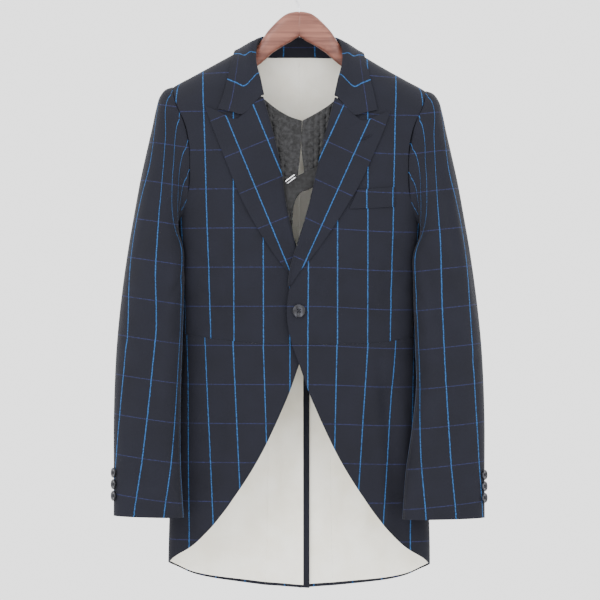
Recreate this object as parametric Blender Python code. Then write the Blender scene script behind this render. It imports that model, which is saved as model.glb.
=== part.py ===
"""A single-button cutaway tailcoat that hangs on a wooden hanger.

Frame: metres, +Z up. The origin is the inner top of the hanger's hook, where a rail carries it.
The wearer faces -Y, so the wearer's left side lies at +X. Left and right are the wearer's.
Sizes are in millimetres. A drop is a depth below the origin. Most tables hold one side of the
coat: x counts outward from the centre line, and the other side mirrors it.
"""

import math
from collections import namedtuple

import bpy
import numpy as np

MM = 0.001
SIDES = {"left": 1.0, "right": -1.0}

# Cloth walls and the clearances between them.
WOOL = 1.6
LAPEL_CLOTH = 1.5
LINING = 1.0
LEATHER = 2.0
LAYER_GAP = 0.4
SEAM_GAP = 0.4

# The body's section at each height: half its width, and its reach to the front and the back.
Ring = namedtuple("Ring", "drop half_width front back")
BODY = (
    Ring(100.0, 208.0, 24.0, 38.0),
    Ring(160.0, 208.0, 37.0, 48.0),
    Ring(200.0, 208.0, 45.0, 52.0),
    Ring(260.0, 207.0, 54.0, 56.0),
    Ring(330.0, 202.0, 60.0, 58.0),
    Ring(400.0, 191.0, 61.0, 56.0),
    Ring(500.0, 183.0, 56.0, 49.0),
    Ring(570.0, 181.5, 52.0, 46.0),
    Ring(650.0, 186.0, 51.0, 46.0),
    Ring(740.0, 194.0, 49.0, 46.0),
    Ring(840.0, 201.0, 47.0, 45.0),
    Ring(920.0, 203.0, 45.0, 44.0),
    Ring(970.0, 203.0, 44.0, 43.0),
)
SQUARENESS = 2.6
GIRTH_RADIUS = 150.0
ANGLE_SCALE = (100.0, 1.0)
NORMAL_TURN = 0.012
NORMAL_STEP = 1.5

# The shoulder: its seam slopes from the neck point, and the cloth rounds over it.
NECK_POINT_X = 73.0
NECK_POINT_DROP = 115.4
SHOULDER_SLOPE = 0.547
SHOULDER_ROUND = 45.0
SHOULDER_SEAM_Y = 8.0
SHOULDER_SAG = 6.0
RIDGE = 0.5
SAG_REACH = (15.0, 150.0)
SAG_FADE = (420.0, 850.0)
SAG_LOST = 0.5

# The fronts lap over each other, and so do the tails at the vent.
FRONT_LAP = 3.4
LAP_REACH = (18.0, 62.0)
VENT_LAP = 4.2
VENT_TOP = 594.0
VENT_LAP_ABOVE = (90.0, 38.0)
VENT_LAP_REACH = (2.0, 34.0)
VENT_OPENS_BELOW_WAIST = 2.0
UNDERLAP = 16.0
VENT_FACING_WIDTH = 9.6
VENT_FACING_TOP = 606.0
VENT_FACING_BOTTOM = 963.0

Spot = namedtuple("Spot", "x drop")
ARMHOLE_FRONT = (
    Spot(196.0, 182.7),
    Spot(192.5, 203.0),
    Spot(176.5, 240.0),
    Spot(169.8, 268.0),
    Spot(169.0, 327.0),
    Spot(172.0, 358.0),
    Spot(182.0, 387.0),
)
ARMHOLE_BACK = (
    Spot(196.0, 182.7),
    Spot(186.0, 215.0),
    Spot(174.0, 255.0),
    Spot(166.0, 300.0),
    Spot(164.0, 322.0),
    Spot(168.0, 358.0),
    Spot(180.0, 387.0),
)
UNDERARM_DROP = 402.0
SIDE_SEAM_ANGLE = math.radians(76.0)
SIDE_SEAM_TOP = 391.0
SIDE_BACK_SEAM = (
    Spot(164.0, 322.0),
    Spot(132.0, 350.0),
    Spot(101.0, 389.0),
    Spot(74.0, 440.0),
    Spot(57.0, 500.0),
    Spot(49.0, 560.0),
)
TAIL_SEAM = (
    Spot(49.0, 560.0),
    Spot(48.5, 700.0),
    Spot(50.0, 850.0),
    Spot(53.0, 959.5),
)

# The neck: the seam that joins the collar, then the fold of the collar above it.
NECK_FRONT = (Spot(65.0, 200.0), Spot(71.5, 176.0), Spot(77.0, 147.0))
NECK_RIDGE = 79.0
NECK_BACK = (Spot(67.0, 130.0), Spot(47.0, 132.5), Spot(25.0, 133.0), Spot(0.0, 133.0))
PANEL_BELOW_NECK = 0.6
Fold = namedtuple("Fold", "x y drop")
COLLAR_FOLD = (
    Fold(55.5, -48.0, 198.5),
    Fold(60.3, -39.5, 175.0),
    Fold(67.6, -25.5, 145.0),
    Fold(67.8, -14.0, 127.0),
    Fold(66.5, -5.0, 116.0),
    Fold(63.0, 4.0, 109.0),
    Fold(57.0, 15.0, 105.0),
    Fold(45.0, 28.0, 103.2),
    Fold(24.0, 37.0, 103.0),
    Fold(0.0, 40.0, 103.0),
)
CHEST_DROP = 400.0
COLLAR_ROLL = 1.9
COLLAR_LIP = 3.0
COLLAR_LIFT = 3.0
STAND_DEPTH = 3.8
STAND_RIDGE_DEPTH = 2.6
COLLAR_BULGE = 1.5
COLLAR_RIDGE_EASE = 1.8
COLLAR_EASE_REACH = 16.0
COLLAR_FREE_SHARE = 0.18
COLLAR_FRONT_LIFT = 4.6
COLLAR_GORGE_SHARE = 0.62
DEEPEST_INSIDE = 0.2
Turn = namedtuple("Turn", "inward upward")
COLLAR_TURNS = (Turn(1.0, -0.1), Turn(0.5, 0.85), Turn(-0.6, 0.8))
COLLAR_EDGE_FRONT = (Spot(116.0, 198.0), Spot(110.2, 175.0), Spot(103.5, 150.0))
COLLAR_EDGE_RIDGE = 98.5
COLLAR_EDGE_BACK = (Spot(86.0, 142.0), Spot(60.0, 146.0), Spot(30.0, 147.5), Spot(0.0, 148.0))
COLLAR_FOLD_START = Spot(56.0, 200.5)
COLLAR_TIP = {"left": Spot(119.8, 216.4), "right": Spot(124.3, 220.2)}
GORGE_END = {"left": Spot(85.3, 227.3), "right": Spot(87.1, 229.5)}

# The lapels: roll line, notch, and outer edge.
ROLL = {
    "left": (
        Spot(54.0, 201.0),
        Spot(40.5, 254.0),
        Spot(28.8, 304.0),
        Spot(12.8, 373.0),
        Spot(-4.2, 430.0),
        Spot(-14.5, 464.0),
        Spot(-17.7, 492.0),
    ),
    "right": (
        Spot(54.6, 201.0),
        Spot(42.0, 246.0),
        Spot(29.5, 299.0),
        Spot(18.2, 373.0),
        Spot(4.2, 430.0),
        Spot(-6.0, 462.0),
        Spot(-14.5, 492.0),
    ),
}
NOTCH = {"left": Spot(93.2, 233.8), "right": Spot(94.2, 235.4)}
PEAK = {"left": Spot(139.7, 217.5), "right": Spot(144.5, 215.6)}
LAPEL_EDGE = {
    "left": (
        Spot(139.7, 217.5),
        Spot(129.7, 246.0),
        Spot(111.9, 288.2),
        Spot(94.2, 328.5),
        Spot(76.4, 360.5),
        Spot(50.0, 404.0),
        Spot(22.9, 442.7),
        Spot(1.2, 469.0),
        Spot(-10.5, 487.0),
    ),
    "right": (
        Spot(144.5, 215.6),
        Spot(130.8, 252.8),
        Spot(111.0, 302.4),
        Spot(91.3, 351.0),
        Spot(61.7, 407.0),
        Spot(38.3, 442.7),
        Spot(16.3, 472.0),
        Spot(-7.5, 490.0),
    ),
}
LAPEL_LIFT = 3.6
LAPEL_LIP = 3.0
LAPEL_PRESSED = (385.0, 435.0)
LAPEL_CROWN = 1.2
LAPEL_CROWN_REACH = 1.6
LAPEL_EDGE_FALL = 0.8
LAPEL_BEHIND = -(WOOL + 2.0 * LAYER_GAP + LAPEL_CLOTH)
Lip = namedtuple("Lip", "away lift")
OUTER_LIP = (Lip(9.0, LAPEL_BEHIND), Lip(3.0, LAPEL_BEHIND), Lip(0.2, -0.8), Lip(1.6, 2.4))
INNER_LIP = (
    Lip(9.0, LAPEL_BEHIND + LAPEL_CLOTH),
    Lip(3.0, LAPEL_BEHIND + LAPEL_CLOTH),
    Lip(1.9, -0.7),
    Lip(2.6, 1.3),
)
ROLL_CLEARANCE = 3.4

# The front edge below the lapel, the waist seam, and the cutaway edge down to the side.
FRONT_EDGE = (Spot(-17.7, 510.0), Spot(-17.7, 550.0), Spot(-12.6, 575.0), Spot(-11.0, 581.0))
WAIST_CENTRE_DROP = 581.5
WAIST_SIDE_DROP = 565.5
WAIST_SIDE_X = 176.0
WAIST_BACK_DROP = 560.0
WAIST_BACK_ANGLE = math.radians(162.0)
CUTAWAY = (
    Spot(-11.0, 581.0),
    Spot(-3.4, 601.5),
    Spot(9.0, 638.7),
    Spot(32.2, 695.0),
    Spot(64.8, 761.0),
    Spot(105.0, 823.0),
    Spot(128.3, 854.0),
    Spot(157.8, 885.0),
    Spot(199.5, 915.0),
)
HEM = (
    Spot(199.5, 915.0),
    Spot(186.0, 930.0),
    Spot(165.0, 940.0),
    Spot(140.0, 946.5),
    Spot(100.0, 953.0),
    Spot(53.0, 959.5),
)
CENTRE_HEM_DROP = 964.0
HEM_TURN_UP = 5.0
CUTAWAY_TURN = 3.0
TURNING_REACH = 0.7

# The largest folds: troughs that run down the cloth.
Trough = namedtuple("Trough", "side face top_x bottom_x top bottom width depth")
TROUGHS = (
    Trough("left", "front", 136.0, 152.0, 610.0, 880.0, 15.0, 4.5),
    Trough("left", "front", 108.0, 118.0, 660.0, 860.0, 12.0, 1.5),
    Trough("right", "front", 150.0, 148.0, 200.0, 345.0, 9.0, 2.0),
    Trough("right", "back", 28.0, 18.0, 680.0, 940.0, 10.0, 2.0),
    Trough("left", "back", 110.0, 96.0, 640.0, 930.0, 16.0, 3.0),
    Trough("right", "back", 118.0, 108.0, 660.0, 930.0, 16.0, 3.0),
)
TROUGH_FADE = 45.0
TROUGH_FACING = 0.15

# Sleeves, from the head of the armhole to the cuff.
Cuffward = namedtuple("Cuffward", "outer_x outer_drop inner_left inner_right inner_drop half_depth y")
SLEEVE = (
    Cuffward(196.0, 182.7, 193.0, 193.0, 402.0, 46.0, 0.0),
    Cuffward(208.0, 188.0, 196.0, 196.0, 403.5, 47.0, 0.0),
    Cuffward(216.5, 198.5, 195.0, 195.0, 406.0, 48.0, -1.0),
    Cuffward(221.5, 216.0, 191.0, 191.0, 409.5, 49.0, -2.0),
    Cuffward(227.5, 245.0, 187.0, 187.0, 413.5, 50.0, -3.0),
    Cuffward(235.5, 281.0, 183.0, 183.0, 418.0, 51.0, -4.0),
    Cuffward(245.5, 327.0, 177.0, 178.0, 424.0, 52.0, -5.0),
    Cuffward(254.0, 374.0, 172.0, 174.0, 432.0, 53.0, -6.5),
    Cuffward(262.0, 420.0, 169.0, 172.0, 446.0, 53.0, -8.5),
    Cuffward(269.0, 467.0, 171.0, 173.5, 476.0, 52.0, -12.0),
    Cuffward(275.0, 516.0, 174.5, 176.5, 518.0, 50.0, -17.0),
    Cuffward(280.5, 576.0, 178.0, 179.5, 577.0, 47.0, -24.0),
    Cuffward(283.5, 640.0, 179.5, 181.5, 641.0, 43.0, -33.0),
    Cuffward(284.5, 704.0, 173.0, 182.0, 705.0, 38.0, -42.0),
    Cuffward(283.8, 772.0, 163.0, 180.5, 773.0, 33.0, -51.0),
    Cuffward(283.5, 842.0, 157.5, 176.0, 845.0, 29.0, -58.0),
)
SLEEVE_SQUARENESS = 2.3
ARMHOLE_BLEND = 150.0
ARMHOLE_GAP = 1.0
BODY_CLEARANCE = 3.6
CLEARANCE_DROPS = (388.0, 402.0)
CORE_SHARE = 0.55
FARTHEST_MOVE = 6.0
HALVINGS = 30
ARMHOLE_BLEND_POWER = 1.5
SLEEVE_SAMPLES = 96
ELBOW_SEAM = (math.radians(-62.0), math.radians(-9.0))
FOREARM_SEAM = (math.radians(138.0), math.radians(166.0))
SleeveTrough = namedtuple("SleeveTrough", "side top_angle bottom_angle top bottom width depth")
SLEEVE_TROUGHS = (
    SleeveTrough("left", 72.0, 64.0, 200.0, 470.0, 13.0, 4.0),
    SleeveTrough("left", 118.0, 96.0, 420.0, 700.0, 13.0, 3.5),
    SleeveTrough("right", 52.0, 86.0, 190.0, 330.0, 12.0, 3.5),
    SleeveTrough("right", 112.0, 98.0, 430.0, 690.0, 14.0, 3.0),
    SleeveTrough("left", -78.0, -64.0, 330.0, 660.0, 15.0, 3.5),
    SleeveTrough("right", -78.0, -64.0, 330.0, 660.0, 15.0, 3.5),
)

# The breast welt, on the left front.
WELT_TOP = (Spot(89.5, 340.5), Spot(146.6, 334.0))
WELT_BOTTOM = (Spot(76.5, 371.5), Spot(146.6, 364.5))
WELT_CLOTH = 1.4

# The leather chest harness behind the lapels.
HARNESS_LIFT = -13.0
HARNESS_TOP = {
    "left": (Spot(4.8, 235.5), Spot(29.1, 222.0), Spot(50.5, 206.5), Spot(76.0, 183.0)),
    "right": (Spot(-4.3, 235.5), Spot(20.5, 226.4), Spot(40.1, 213.0), Spot(75.0, 183.0)),
}
HARNESS_CENTRE = {
    "left": (Spot(4.8, 235.5), Spot(3.3, 278.0), Spot(7.9, 316.0), Spot(9.0, 326.0)),
    "right": (
        Spot(-4.3, 235.5),
        Spot(-2.5, 278.0),
        Spot(1.4, 316.0),
        Spot(9.0, 373.0),
        Spot(10.5, 400.0),
        Spot(7.0, 425.0),
    ),
}
HARNESS_OUTER = {
    "left": (Spot(76.0, 183.0), Spot(66.0, 250.0), Spot(58.0, 330.0)),
    "right": (Spot(75.0, 183.0), Spot(62.0, 250.0), Spot(48.0, 320.0), Spot(30.0, 430.0)),
}
STRAP_TOP = (
    Spot(50.0, 295.0),
    Spot(24.8, 309.0),
    Spot(4.3, 319.0),
    Spot(-23.0, 334.0),
    Spot(-36.0, 341.0),
)
STRAP_BOTTOM = (
    Spot(50.0, 326.0),
    Spot(18.6, 342.0),
    Spot(-0.9, 351.0),
    Spot(-11.0, 372.0),
    Spot(-33.0, 381.0),
)
BUCKLE_CENTRE = Spot(-12.9, 328.4)
BUCKLE_LENGTH = 18.0
BUCKLE_WIDTH = 10.0
BUCKLE_CORNER = 2.5
BUCKLE_SLANT = math.radians(36.5)
BUCKLE_TILT = math.radians(68.0)
BUCKLE_LIFT = -4.2
BUCKLE_WIRE = 2.2

# Buttons.
FRONT_BUTTON = Spot(-0.3, 529.3)
FRONT_BUTTON_DIAMETER = 20.0
FRONT_BUTTON_THICKNESS = 3.4
CUFF_BUTTON_DROPS = (776.5, 794.0, 811.5)
CUFF_BUTTON_DIAMETER = 15.5
CUFF_BUTTON_THICKNESS = 3.0
CUFF_BUTTON_STANDOFF = 0.9
CUFF_BUTTON_ANGLE = math.radians(19.0)
BESIDE_BUTTON = math.radians(3.0)
BELOW_BUTTON = 4.0
Profile = namedtuple("Profile", "reach height")
BUTTON_PROFILE = (
    Profile(0.75, 0.0),
    Profile(1.0, 0.45),
    Profile(0.9, 1.0),
    Profile(0.76, 1.0),
    Profile(0.6, 0.7),
)

# The hanger: a wooden arch and a wire hook.
Arm = namedtuple("Arm", "x top bottom half_thickness y")
HANGER = (
    Arm(0.0, 66.0, 106.0, 8.5, 0.0),
    Arm(11.0, 67.0, 112.0, 8.5, 0.0),
    Arm(21.0, 70.5, 117.5, 8.5, 0.0),
    Arm(30.0, 78.0, 122.3, 8.5, 0.0),
    Arm(38.0, 87.5, 126.5, 8.5, 0.0),
    Arm(46.0, 98.5, 130.7, 8.5, 0.0),
    Arm(55.0, 114.5, 137.5, 8.0, 2.5),
    Arm(68.0, 129.0, 148.0, 8.0, 5.5),
    Arm(90.0, 141.0, 160.5, 9.0, 7.0),
    Arm(120.0, 155.0, 175.0, 10.0, 7.0),
    Arm(150.0, 171.5, 192.0, 10.5, 6.0),
    Arm(168.0, 182.5, 201.5, 9.5, 5.0),
    Arm(177.0, 190.0, 204.0, 7.5, 5.0),
)
HANGER_SQUARENESS = 2.4
HANGER_LEAN = 6.0
HANGER_LEAN_REACH = (20.0, 60.0)
HOOK_WIRE = 3.4
HOOK_RADIUS = 20.0
HOOK_START_ANGLE = math.radians(215.0)
HOOK_TIP_ANGLE = math.radians(-38.0)
HOOK_NECK = (-4.5, -49.0)
HOOK_LEAVES_STEM = 58.0

# How finely each piece is divided.
FRONT_COLUMNS = 9
SIDE_COLUMNS = 7
ARMHOLE_ROWS = 7
SIDE_ROWS = 7
SKIRT_ROWS = 11
BACK_ARMHOLE_ROWS = 5
CENTRE_SHIFT = (0.8, 0.2)
TAIL_ROWS = 11
SHOULDER_COLUMNS = 4
NECK_COLUMNS = 5
SHOULDER_BUNCH = 1.5
LAPEL_ROWS = 12
LAPEL_COLUMNS = 6
COLLAR_COLUMNS = 13
STAND_STARTS = 2
LEAF_ROWS = 5
TOP_SLEEVE_COLUMNS = 11
UNDER_SLEEVE_COLUMNS = 8
WELT_COLUMNS = 5
HARNESS_ROWS = 8
HARNESS_COLUMNS = 5
STRAP_COLUMNS = 8
FRONT_BUTTON_SIDES = 20
CUFF_BUTTON_SIDES = 12
HANGER_SIDES = 12
HOOK_ARC_POINTS = 26
HOOK_STEPS = 32
CORNER_POINTS = 4

Finish = namedtuple("Finish", "colour roughness metallic")
FINISHES = {
    "wool": Finish((0.032, 0.034, 0.052), 0.85, 0.0),
    "lining": Finish((0.88, 0.85, 0.76), 0.55, 0.0),
    "leather": Finish((0.012, 0.012, 0.013), 0.35, 0.0),
    "horn": Finish((0.03, 0.03, 0.034), 0.25, 0.0),
    "steel": Finish((0.78, 0.78, 0.80), 0.18, 1.0),
    "wood": Finish((0.36, 0.17, 0.13), 0.45, 0.0),
}


def ease(value, low, high):
    """A smooth step from 0 at low to 1 at high."""
    share = np.clip((np.asarray(value, float) - low) / (high - low), 0.0, 1.0)
    return share * share * (3.0 - 2.0 * share)


def hermite(x, y, tangent, at):
    """A cubic through (x, y) with the given slopes, read at the values of at."""
    at = np.clip(at, x[0], x[-1])
    cell = np.clip(np.searchsorted(x, at, side="right") - 1, 0, len(x) - 2)
    width = x[cell + 1] - x[cell]
    share = (at - x[cell]) / width
    square = share * share
    cube = square * share
    return (
        (2.0 * cube - 3.0 * square + 1.0) * y[cell]
        + (cube - 2.0 * square + share) * width * tangent[cell]
        + (3.0 * square - 2.0 * cube) * y[cell + 1]
        + (cube - square) * width * tangent[cell + 1]
    )


def read(table, key, column, at):
    """A column of a table as a monotone cubic of its key column."""
    x = np.array([getattr(row, key) for row in table], float)
    y = np.array([getattr(row, column) for row in table], float)
    order = np.argsort(x)
    x = x[order]
    y = y[order]
    slope = np.diff(y) / np.diff(x)
    before = slope[:-1]
    after = slope[1:]
    tangent = np.concatenate([slope[:1], np.zeros(len(y) - 2), slope[-1:]])
    same_way = before * after > 0.0
    total = np.where(same_way, before + after, 1.0)
    tangent[1:-1] = np.where(same_way, 2.0 * before * after / total, 0.0)
    return hermite(x, y, tangent, np.asarray(at, float))


def along(points, count, straight=False, spread=None):
    """count + 1 points along a curve through the given points, even or at given shares of it."""
    points = np.asarray(points, float)
    steps = np.linalg.norm(np.diff(points, axis=0), axis=1)
    chord = np.concatenate([[0.0], np.cumsum(steps)])
    fine = np.linspace(0.0, chord[-1], 40 * len(points))
    columns = points.T
    if straight or len(points) < 3:
        curve = np.stack([np.interp(fine, chord, column) for column in columns], axis=1)
    else:
        slopes = np.gradient(points, chord, axis=0).T
        pairs = zip(columns, slopes)
        curve = np.stack([hermite(chord, column, slope, fine) for column, slope in pairs], axis=1)
    lengths = np.linalg.norm(np.diff(curve, axis=0), axis=1)
    run = np.concatenate([[0.0], np.cumsum(lengths)])
    wanted = run[-1] * (np.linspace(0.0, 1.0, count + 1) if spread is None else spread)
    return np.stack([np.interp(wanted, run, column) for column in curve.T], axis=1)


def joined(*paths):
    """Paths that meet end to end, as one."""
    return np.vstack([paths[0]] + [path[1:] for path in paths[1:]])


def run_shares(edge):
    """How far along an edge each of its points lies, from 0 to 1."""
    run = np.concatenate([[0.0], np.cumsum(np.linalg.norm(np.diff(edge, axis=0), axis=1))])
    return run / run[-1]


def shares(first, second):
    """How far along each point of two facing edges lies, from 0 to 1."""
    return (run_shares(first) + run_shares(second)) / 2.0


def patch(start, end, top, bottom):
    """A Coons surface: start and end are its sides, read downward, and top and bottom run across."""
    v = shares(start, end)[:, None, None]
    u = shares(top, bottom)[None, :, None]
    ruled_down = (1.0 - v) * top[None] + v * bottom[None]
    ruled_across = (1.0 - u) * start[:, None] + u * end[:, None]
    corners = (
        (1.0 - v) * (1.0 - u) * top[0]
        + (1.0 - v) * u * top[-1]
        + v * (1.0 - u) * bottom[0]
        + v * u * bottom[-1]
    )
    return ruled_down + ruled_across - corners


def body_patch(start, end, top, bottom):
    """A Coons surface between edges of (angle, drop) pairs."""
    scale = np.array([GIRTH_RADIUS, 1.0])
    return patch(*(edge * scale for edge in (start, end, top, bottom))) / scale


def shoulder_drop(x):
    """The drop of the shoulder seam's line at x."""
    return NECK_POINT_DROP + (np.abs(x) - NECK_POINT_X) * SHOULDER_SLOPE


def body_base(angle, drop):
    """The bare outer face of the body: angle 0 is the centre front, and pi the centre back."""
    half_width = read(BODY, "drop", "half_width", drop)
    sine = np.sin(angle)
    x = half_width * sine
    round_off = (1.0 - np.abs(sine) ** SQUARENESS) ** (1.0 / SQUARENESS)
    front = -read(BODY, "drop", "front", drop)
    back = read(BODY, "drop", "back", drop)
    reach = np.where(np.cos(angle) > 0.0, front, back) * round_off
    below = np.clip((drop - shoulder_drop(x)) / SHOULDER_ROUND, 0.0, 1.0)
    arch = np.sqrt(1.0 - (1.0 - below) ** 2)
    y = SHOULDER_SEAM_Y + (reach - SHOULDER_SEAM_Y) * arch
    return np.stack([x, y, -np.asarray(drop, float) + np.zeros_like(x)], axis=-1)


def body(angle, drop, lift=0.0):
    """The body's face, moved out along its normal by lift."""
    angle, drop, lift = np.broadcast_arrays(angle, drop, lift)
    across = body_base(angle + NORMAL_TURN, drop) - body_base(angle - NORMAL_TURN, drop)
    down = body_base(angle, drop + NORMAL_STEP) - body_base(angle, drop - NORMAL_STEP)
    normal = np.cross(down, across)
    normal /= np.linalg.norm(normal, axis=-1, keepdims=True)
    base = body_base(angle, drop)
    on_ridge = drop - shoulder_drop(base[..., 0]) < RIDGE
    ridge_up = np.array([SHOULDER_SLOPE, 0.0, 1.0]) / math.hypot(SHOULDER_SLOPE, 1.0)
    normal = np.where(on_ridge[..., None], ridge_up, normal)
    return base + normal * lift[..., None]


def angle_at(x, drop, back=False):
    """The angle round the body of a point at x."""
    half_width = read(BODY, "drop", "half_width", drop)
    angle = np.arcsin(np.clip(np.asarray(x, float) / half_width, -1.0, 1.0))
    return math.pi - angle if back else angle


def on_body(spots, back=False):
    """Spots as (angle, drop) pairs."""
    spots = np.asarray(spots, float)
    return np.stack([angle_at(spots[:, 0], spots[:, 1], back), spots[:, 1]], axis=1)


def trough_lift(side, x, drop, angle):
    """How far the largest folds sink the cloth, below 0."""
    lift = np.zeros_like(x)
    for trough in TROUGHS:
        if trough.side != side:
            continue
        share = np.clip((drop - trough.top) / (trough.bottom - trough.top), 0.0, 1.0)
        middle = trough.top_x + (trough.bottom_x - trough.top_x) * share
        facing = np.cos(angle) if trough.face == "front" else -np.cos(angle)
        length = ease(drop, trough.top, trough.top + TROUGH_FADE)
        length = length * (1.0 - ease(drop, trough.bottom - TROUGH_FADE, trough.bottom + TROUGH_FADE))
        across = np.exp(-(((x - middle) / trough.width) ** 2))
        lift -= trough.depth * across * length * ease(facing, 0.0, TROUGH_FACING)
    return lift


def lap_lift(side, x, drop, angle):
    """How far a front or a tail stands out or in where the two sides lap."""
    front = np.cos(angle) > 0.0
    near = 1.0 - ease(x, *LAP_REACH)
    lift = np.where(front, FRONT_LAP * SIDES[side] * near, 0.0)
    if side == "right":
        in_tail = ease(drop, VENT_TOP - VENT_LAP_ABOVE[0], VENT_TOP - VENT_LAP_ABOVE[1])
        lift = np.where(front, lift, -VENT_LAP * (1.0 - ease(x, *VENT_LAP_REACH)) * in_tail)
    return lift


def cloth(side, grid, lift):
    """Points of a side's cloth: the body's face with its folds and laps, moved out by lift."""
    angle = grid[..., 0]
    drop = grid[..., 1]
    x = body_base(angle, drop)[..., 0]
    total = lift + trough_lift(side, x, drop, angle) + lap_lift(side, x, drop, angle)
    return body(angle, drop, total)


def settle(points):
    """Lowers the wearer's left shoulder a little, as the coat hangs."""
    points = points.copy()
    x = points[..., 0]
    fade = 1.0 - SAG_LOST * ease(-points[..., 2], *SAG_FADE)
    points[..., 2] -= SHOULDER_SAG * ease(x, *SAG_REACH) * fade
    return points


def keep_off(points, margin):
    """Moves points that lie within margin of the upper body's face straight out of it."""
    x = points[..., 0]
    drop = -points[..., 2]
    y = points[..., 1] - SHOULDER_SEAM_Y
    angle = angle_at(x, drop)
    round_off = (1.0 - np.abs(np.sin(angle)) ** SQUARENESS) ** (1.0 / SQUARENESS)
    front = read(BODY, "drop", "front", drop) * round_off + SHOULDER_SEAM_Y
    back = read(BODY, "drop", "back", drop) * round_off - SHOULDER_SEAM_Y
    reach = np.where(y < 0.0, front, back) + margin
    rise = np.clip(SHOULDER_ROUND - (drop - shoulder_drop(x)), 0.0, None)
    inside = np.sqrt((rise / (SHOULDER_ROUND + margin)) ** 2 + (y / reach) ** 2)
    push = np.where(inside < 1.0, 1.0 / np.maximum(inside, DEEPEST_INSIDE), 1.0)
    moved = points.copy()
    moved[..., 1] = y * push + SHOULDER_SEAM_Y
    moved[..., 2] += rise * (push - 1.0)
    return moved


def clear_of_body(points, margin):
    """Moves sleeve points out of the body's side, away from a line inside it."""
    moved = points.copy()
    drop = -points[..., 2]
    half_width = read(BODY, "drop", "half_width", drop) + margin
    front = read(BODY, "drop", "front", drop) + margin
    back = read(BODY, "drop", "back", drop) + margin
    core = CORE_SHARE * half_width
    away_x = points[..., 0] - core
    away_y = points[..., 1]
    low = np.ones_like(drop)
    high = np.full_like(drop, FARTHEST_MOVE)

    def fill(scale):
        reach = np.where(away_y < 0.0, front, back)
        across = np.abs(core + away_x * scale) / half_width
        return across**SQUARENESS + (np.abs(away_y * scale) / reach) ** SQUARENESS

    for _ in range(HALVINGS):
        middle = (low + high) / 2.0
        inside = fill(middle) < 1.0
        low = np.where(inside, middle, low)
        high = np.where(inside, high, middle)
    weight = ease(drop, *CLEARANCE_DROPS)
    scale = 1.0 + (np.where(fill(np.ones_like(drop)) < 1.0, high, 1.0) - 1.0) * weight
    moved[..., 0] = core + away_x * scale
    moved[..., 1] = away_y * scale
    return moved


def grid_normals(points):
    """Unit normals of a grid of points."""
    down = np.gradient(points, axis=0)
    across = np.gradient(points, axis=1)
    normal = np.cross(down, across)
    length = np.linalg.norm(normal, axis=-1, keepdims=True)
    return normal / np.maximum(length, 1e-9)


def trimmed(outer, inner, edges="TBSE"):
    """Draws both faces of a wall back from the named edges by half a seam gap."""
    faces = [outer.copy(), inner.copy()]
    for edge in edges:
        view = {
            "T": lambda face: (face[0], face[1]),
            "B": lambda face: (face[-1], face[-2]),
            "S": lambda face: (face[:, 0], face[:, 1]),
            "E": lambda face: (face[:, -1], face[:, -2]),
        }[edge]
        line, beside = view(faces[0])
        tangent = np.gradient(line, axis=0)
        tangent /= np.maximum(np.linalg.norm(tangent, axis=1, keepdims=True), 1e-9)
        inward = beside - line
        inward -= (inward * tangent).sum(axis=1, keepdims=True) * tangent
        inward /= np.maximum(np.linalg.norm(inward, axis=1, keepdims=True), 1e-9)
        move = inward * SEAM_GAP / 2.0
        for face in faces:
            view(face)[0][:] += move
    return faces


def material(name):
    """The Principled material of a finish, made once."""
    found = bpy.data.materials.get(name)
    if found:
        return found
    finish = FINISHES[name]
    made = bpy.data.materials.new(name)
    made.use_nodes = True
    shader = made.node_tree.nodes["Principled BSDF"]
    shader.inputs["Base Color"].default_value = (*finish.colour, 1.0)
    shader.inputs["Roughness"].default_value = finish.roughness
    shader.inputs["Metallic"].default_value = finish.metallic
    made.diffuse_color = (*finish.colour, 1.0)
    return made


def add_mesh(name, points, triangles, finish):
    """An object from points in millimetres, with its triangles turned outward."""
    corners = points[triangles]
    volume = np.einsum("ij,ij->i", corners[:, 0], np.cross(corners[:, 1], corners[:, 2])).sum()
    if volume < 0.0:
        triangles = triangles[:, ::-1]
    mesh = bpy.data.meshes.new(name)
    mesh.from_pydata((points * MM).tolist(), [], triangles.tolist())
    mesh.shade_smooth()
    mesh.set_sharp_from_angle(angle=math.radians(40.0))
    mesh.materials.append(material(finish))
    item = bpy.data.objects.new(name, mesh)
    bpy.context.scene.collection.objects.link(item)
    return item


def grid_triangles(rows, columns):
    """Two triangles for each cell of a grid."""
    index = np.arange(rows * columns).reshape(rows, columns)
    a = index[:-1, :-1].ravel()
    b = index[:-1, 1:].ravel()
    c = index[1:, 1:].ravel()
    d = index[1:, :-1].ravel()
    return np.concatenate([np.stack([a, b, c], axis=1), np.stack([a, c, d], axis=1)])


def wall(name, side, outer, inner, finish):
    """A closed wall between two grids of points, placed on its side of the coat."""
    rows, columns = outer.shape[:2]
    count = rows * columns
    points = np.concatenate([outer.reshape(-1, 3), inner.reshape(-1, 3)])
    points[:, 0] *= SIDES[side]
    face = grid_triangles(rows, columns)
    index = np.arange(count).reshape(rows, columns)
    loop = np.concatenate([index[0, :-1], index[:-1, -1], index[-1, :0:-1], index[:0:-1, 0]])
    following = np.roll(loop, -1)
    rim = np.concatenate(
        [
            np.stack([following, loop, loop + count], axis=1),
            np.stack([following, loop + count, following + count], axis=1),
        ]
    )
    triangles = np.concatenate([face, face[:, ::-1] + count, rim])
    return add_mesh(name, settle(points), triangles, finish)


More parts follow.
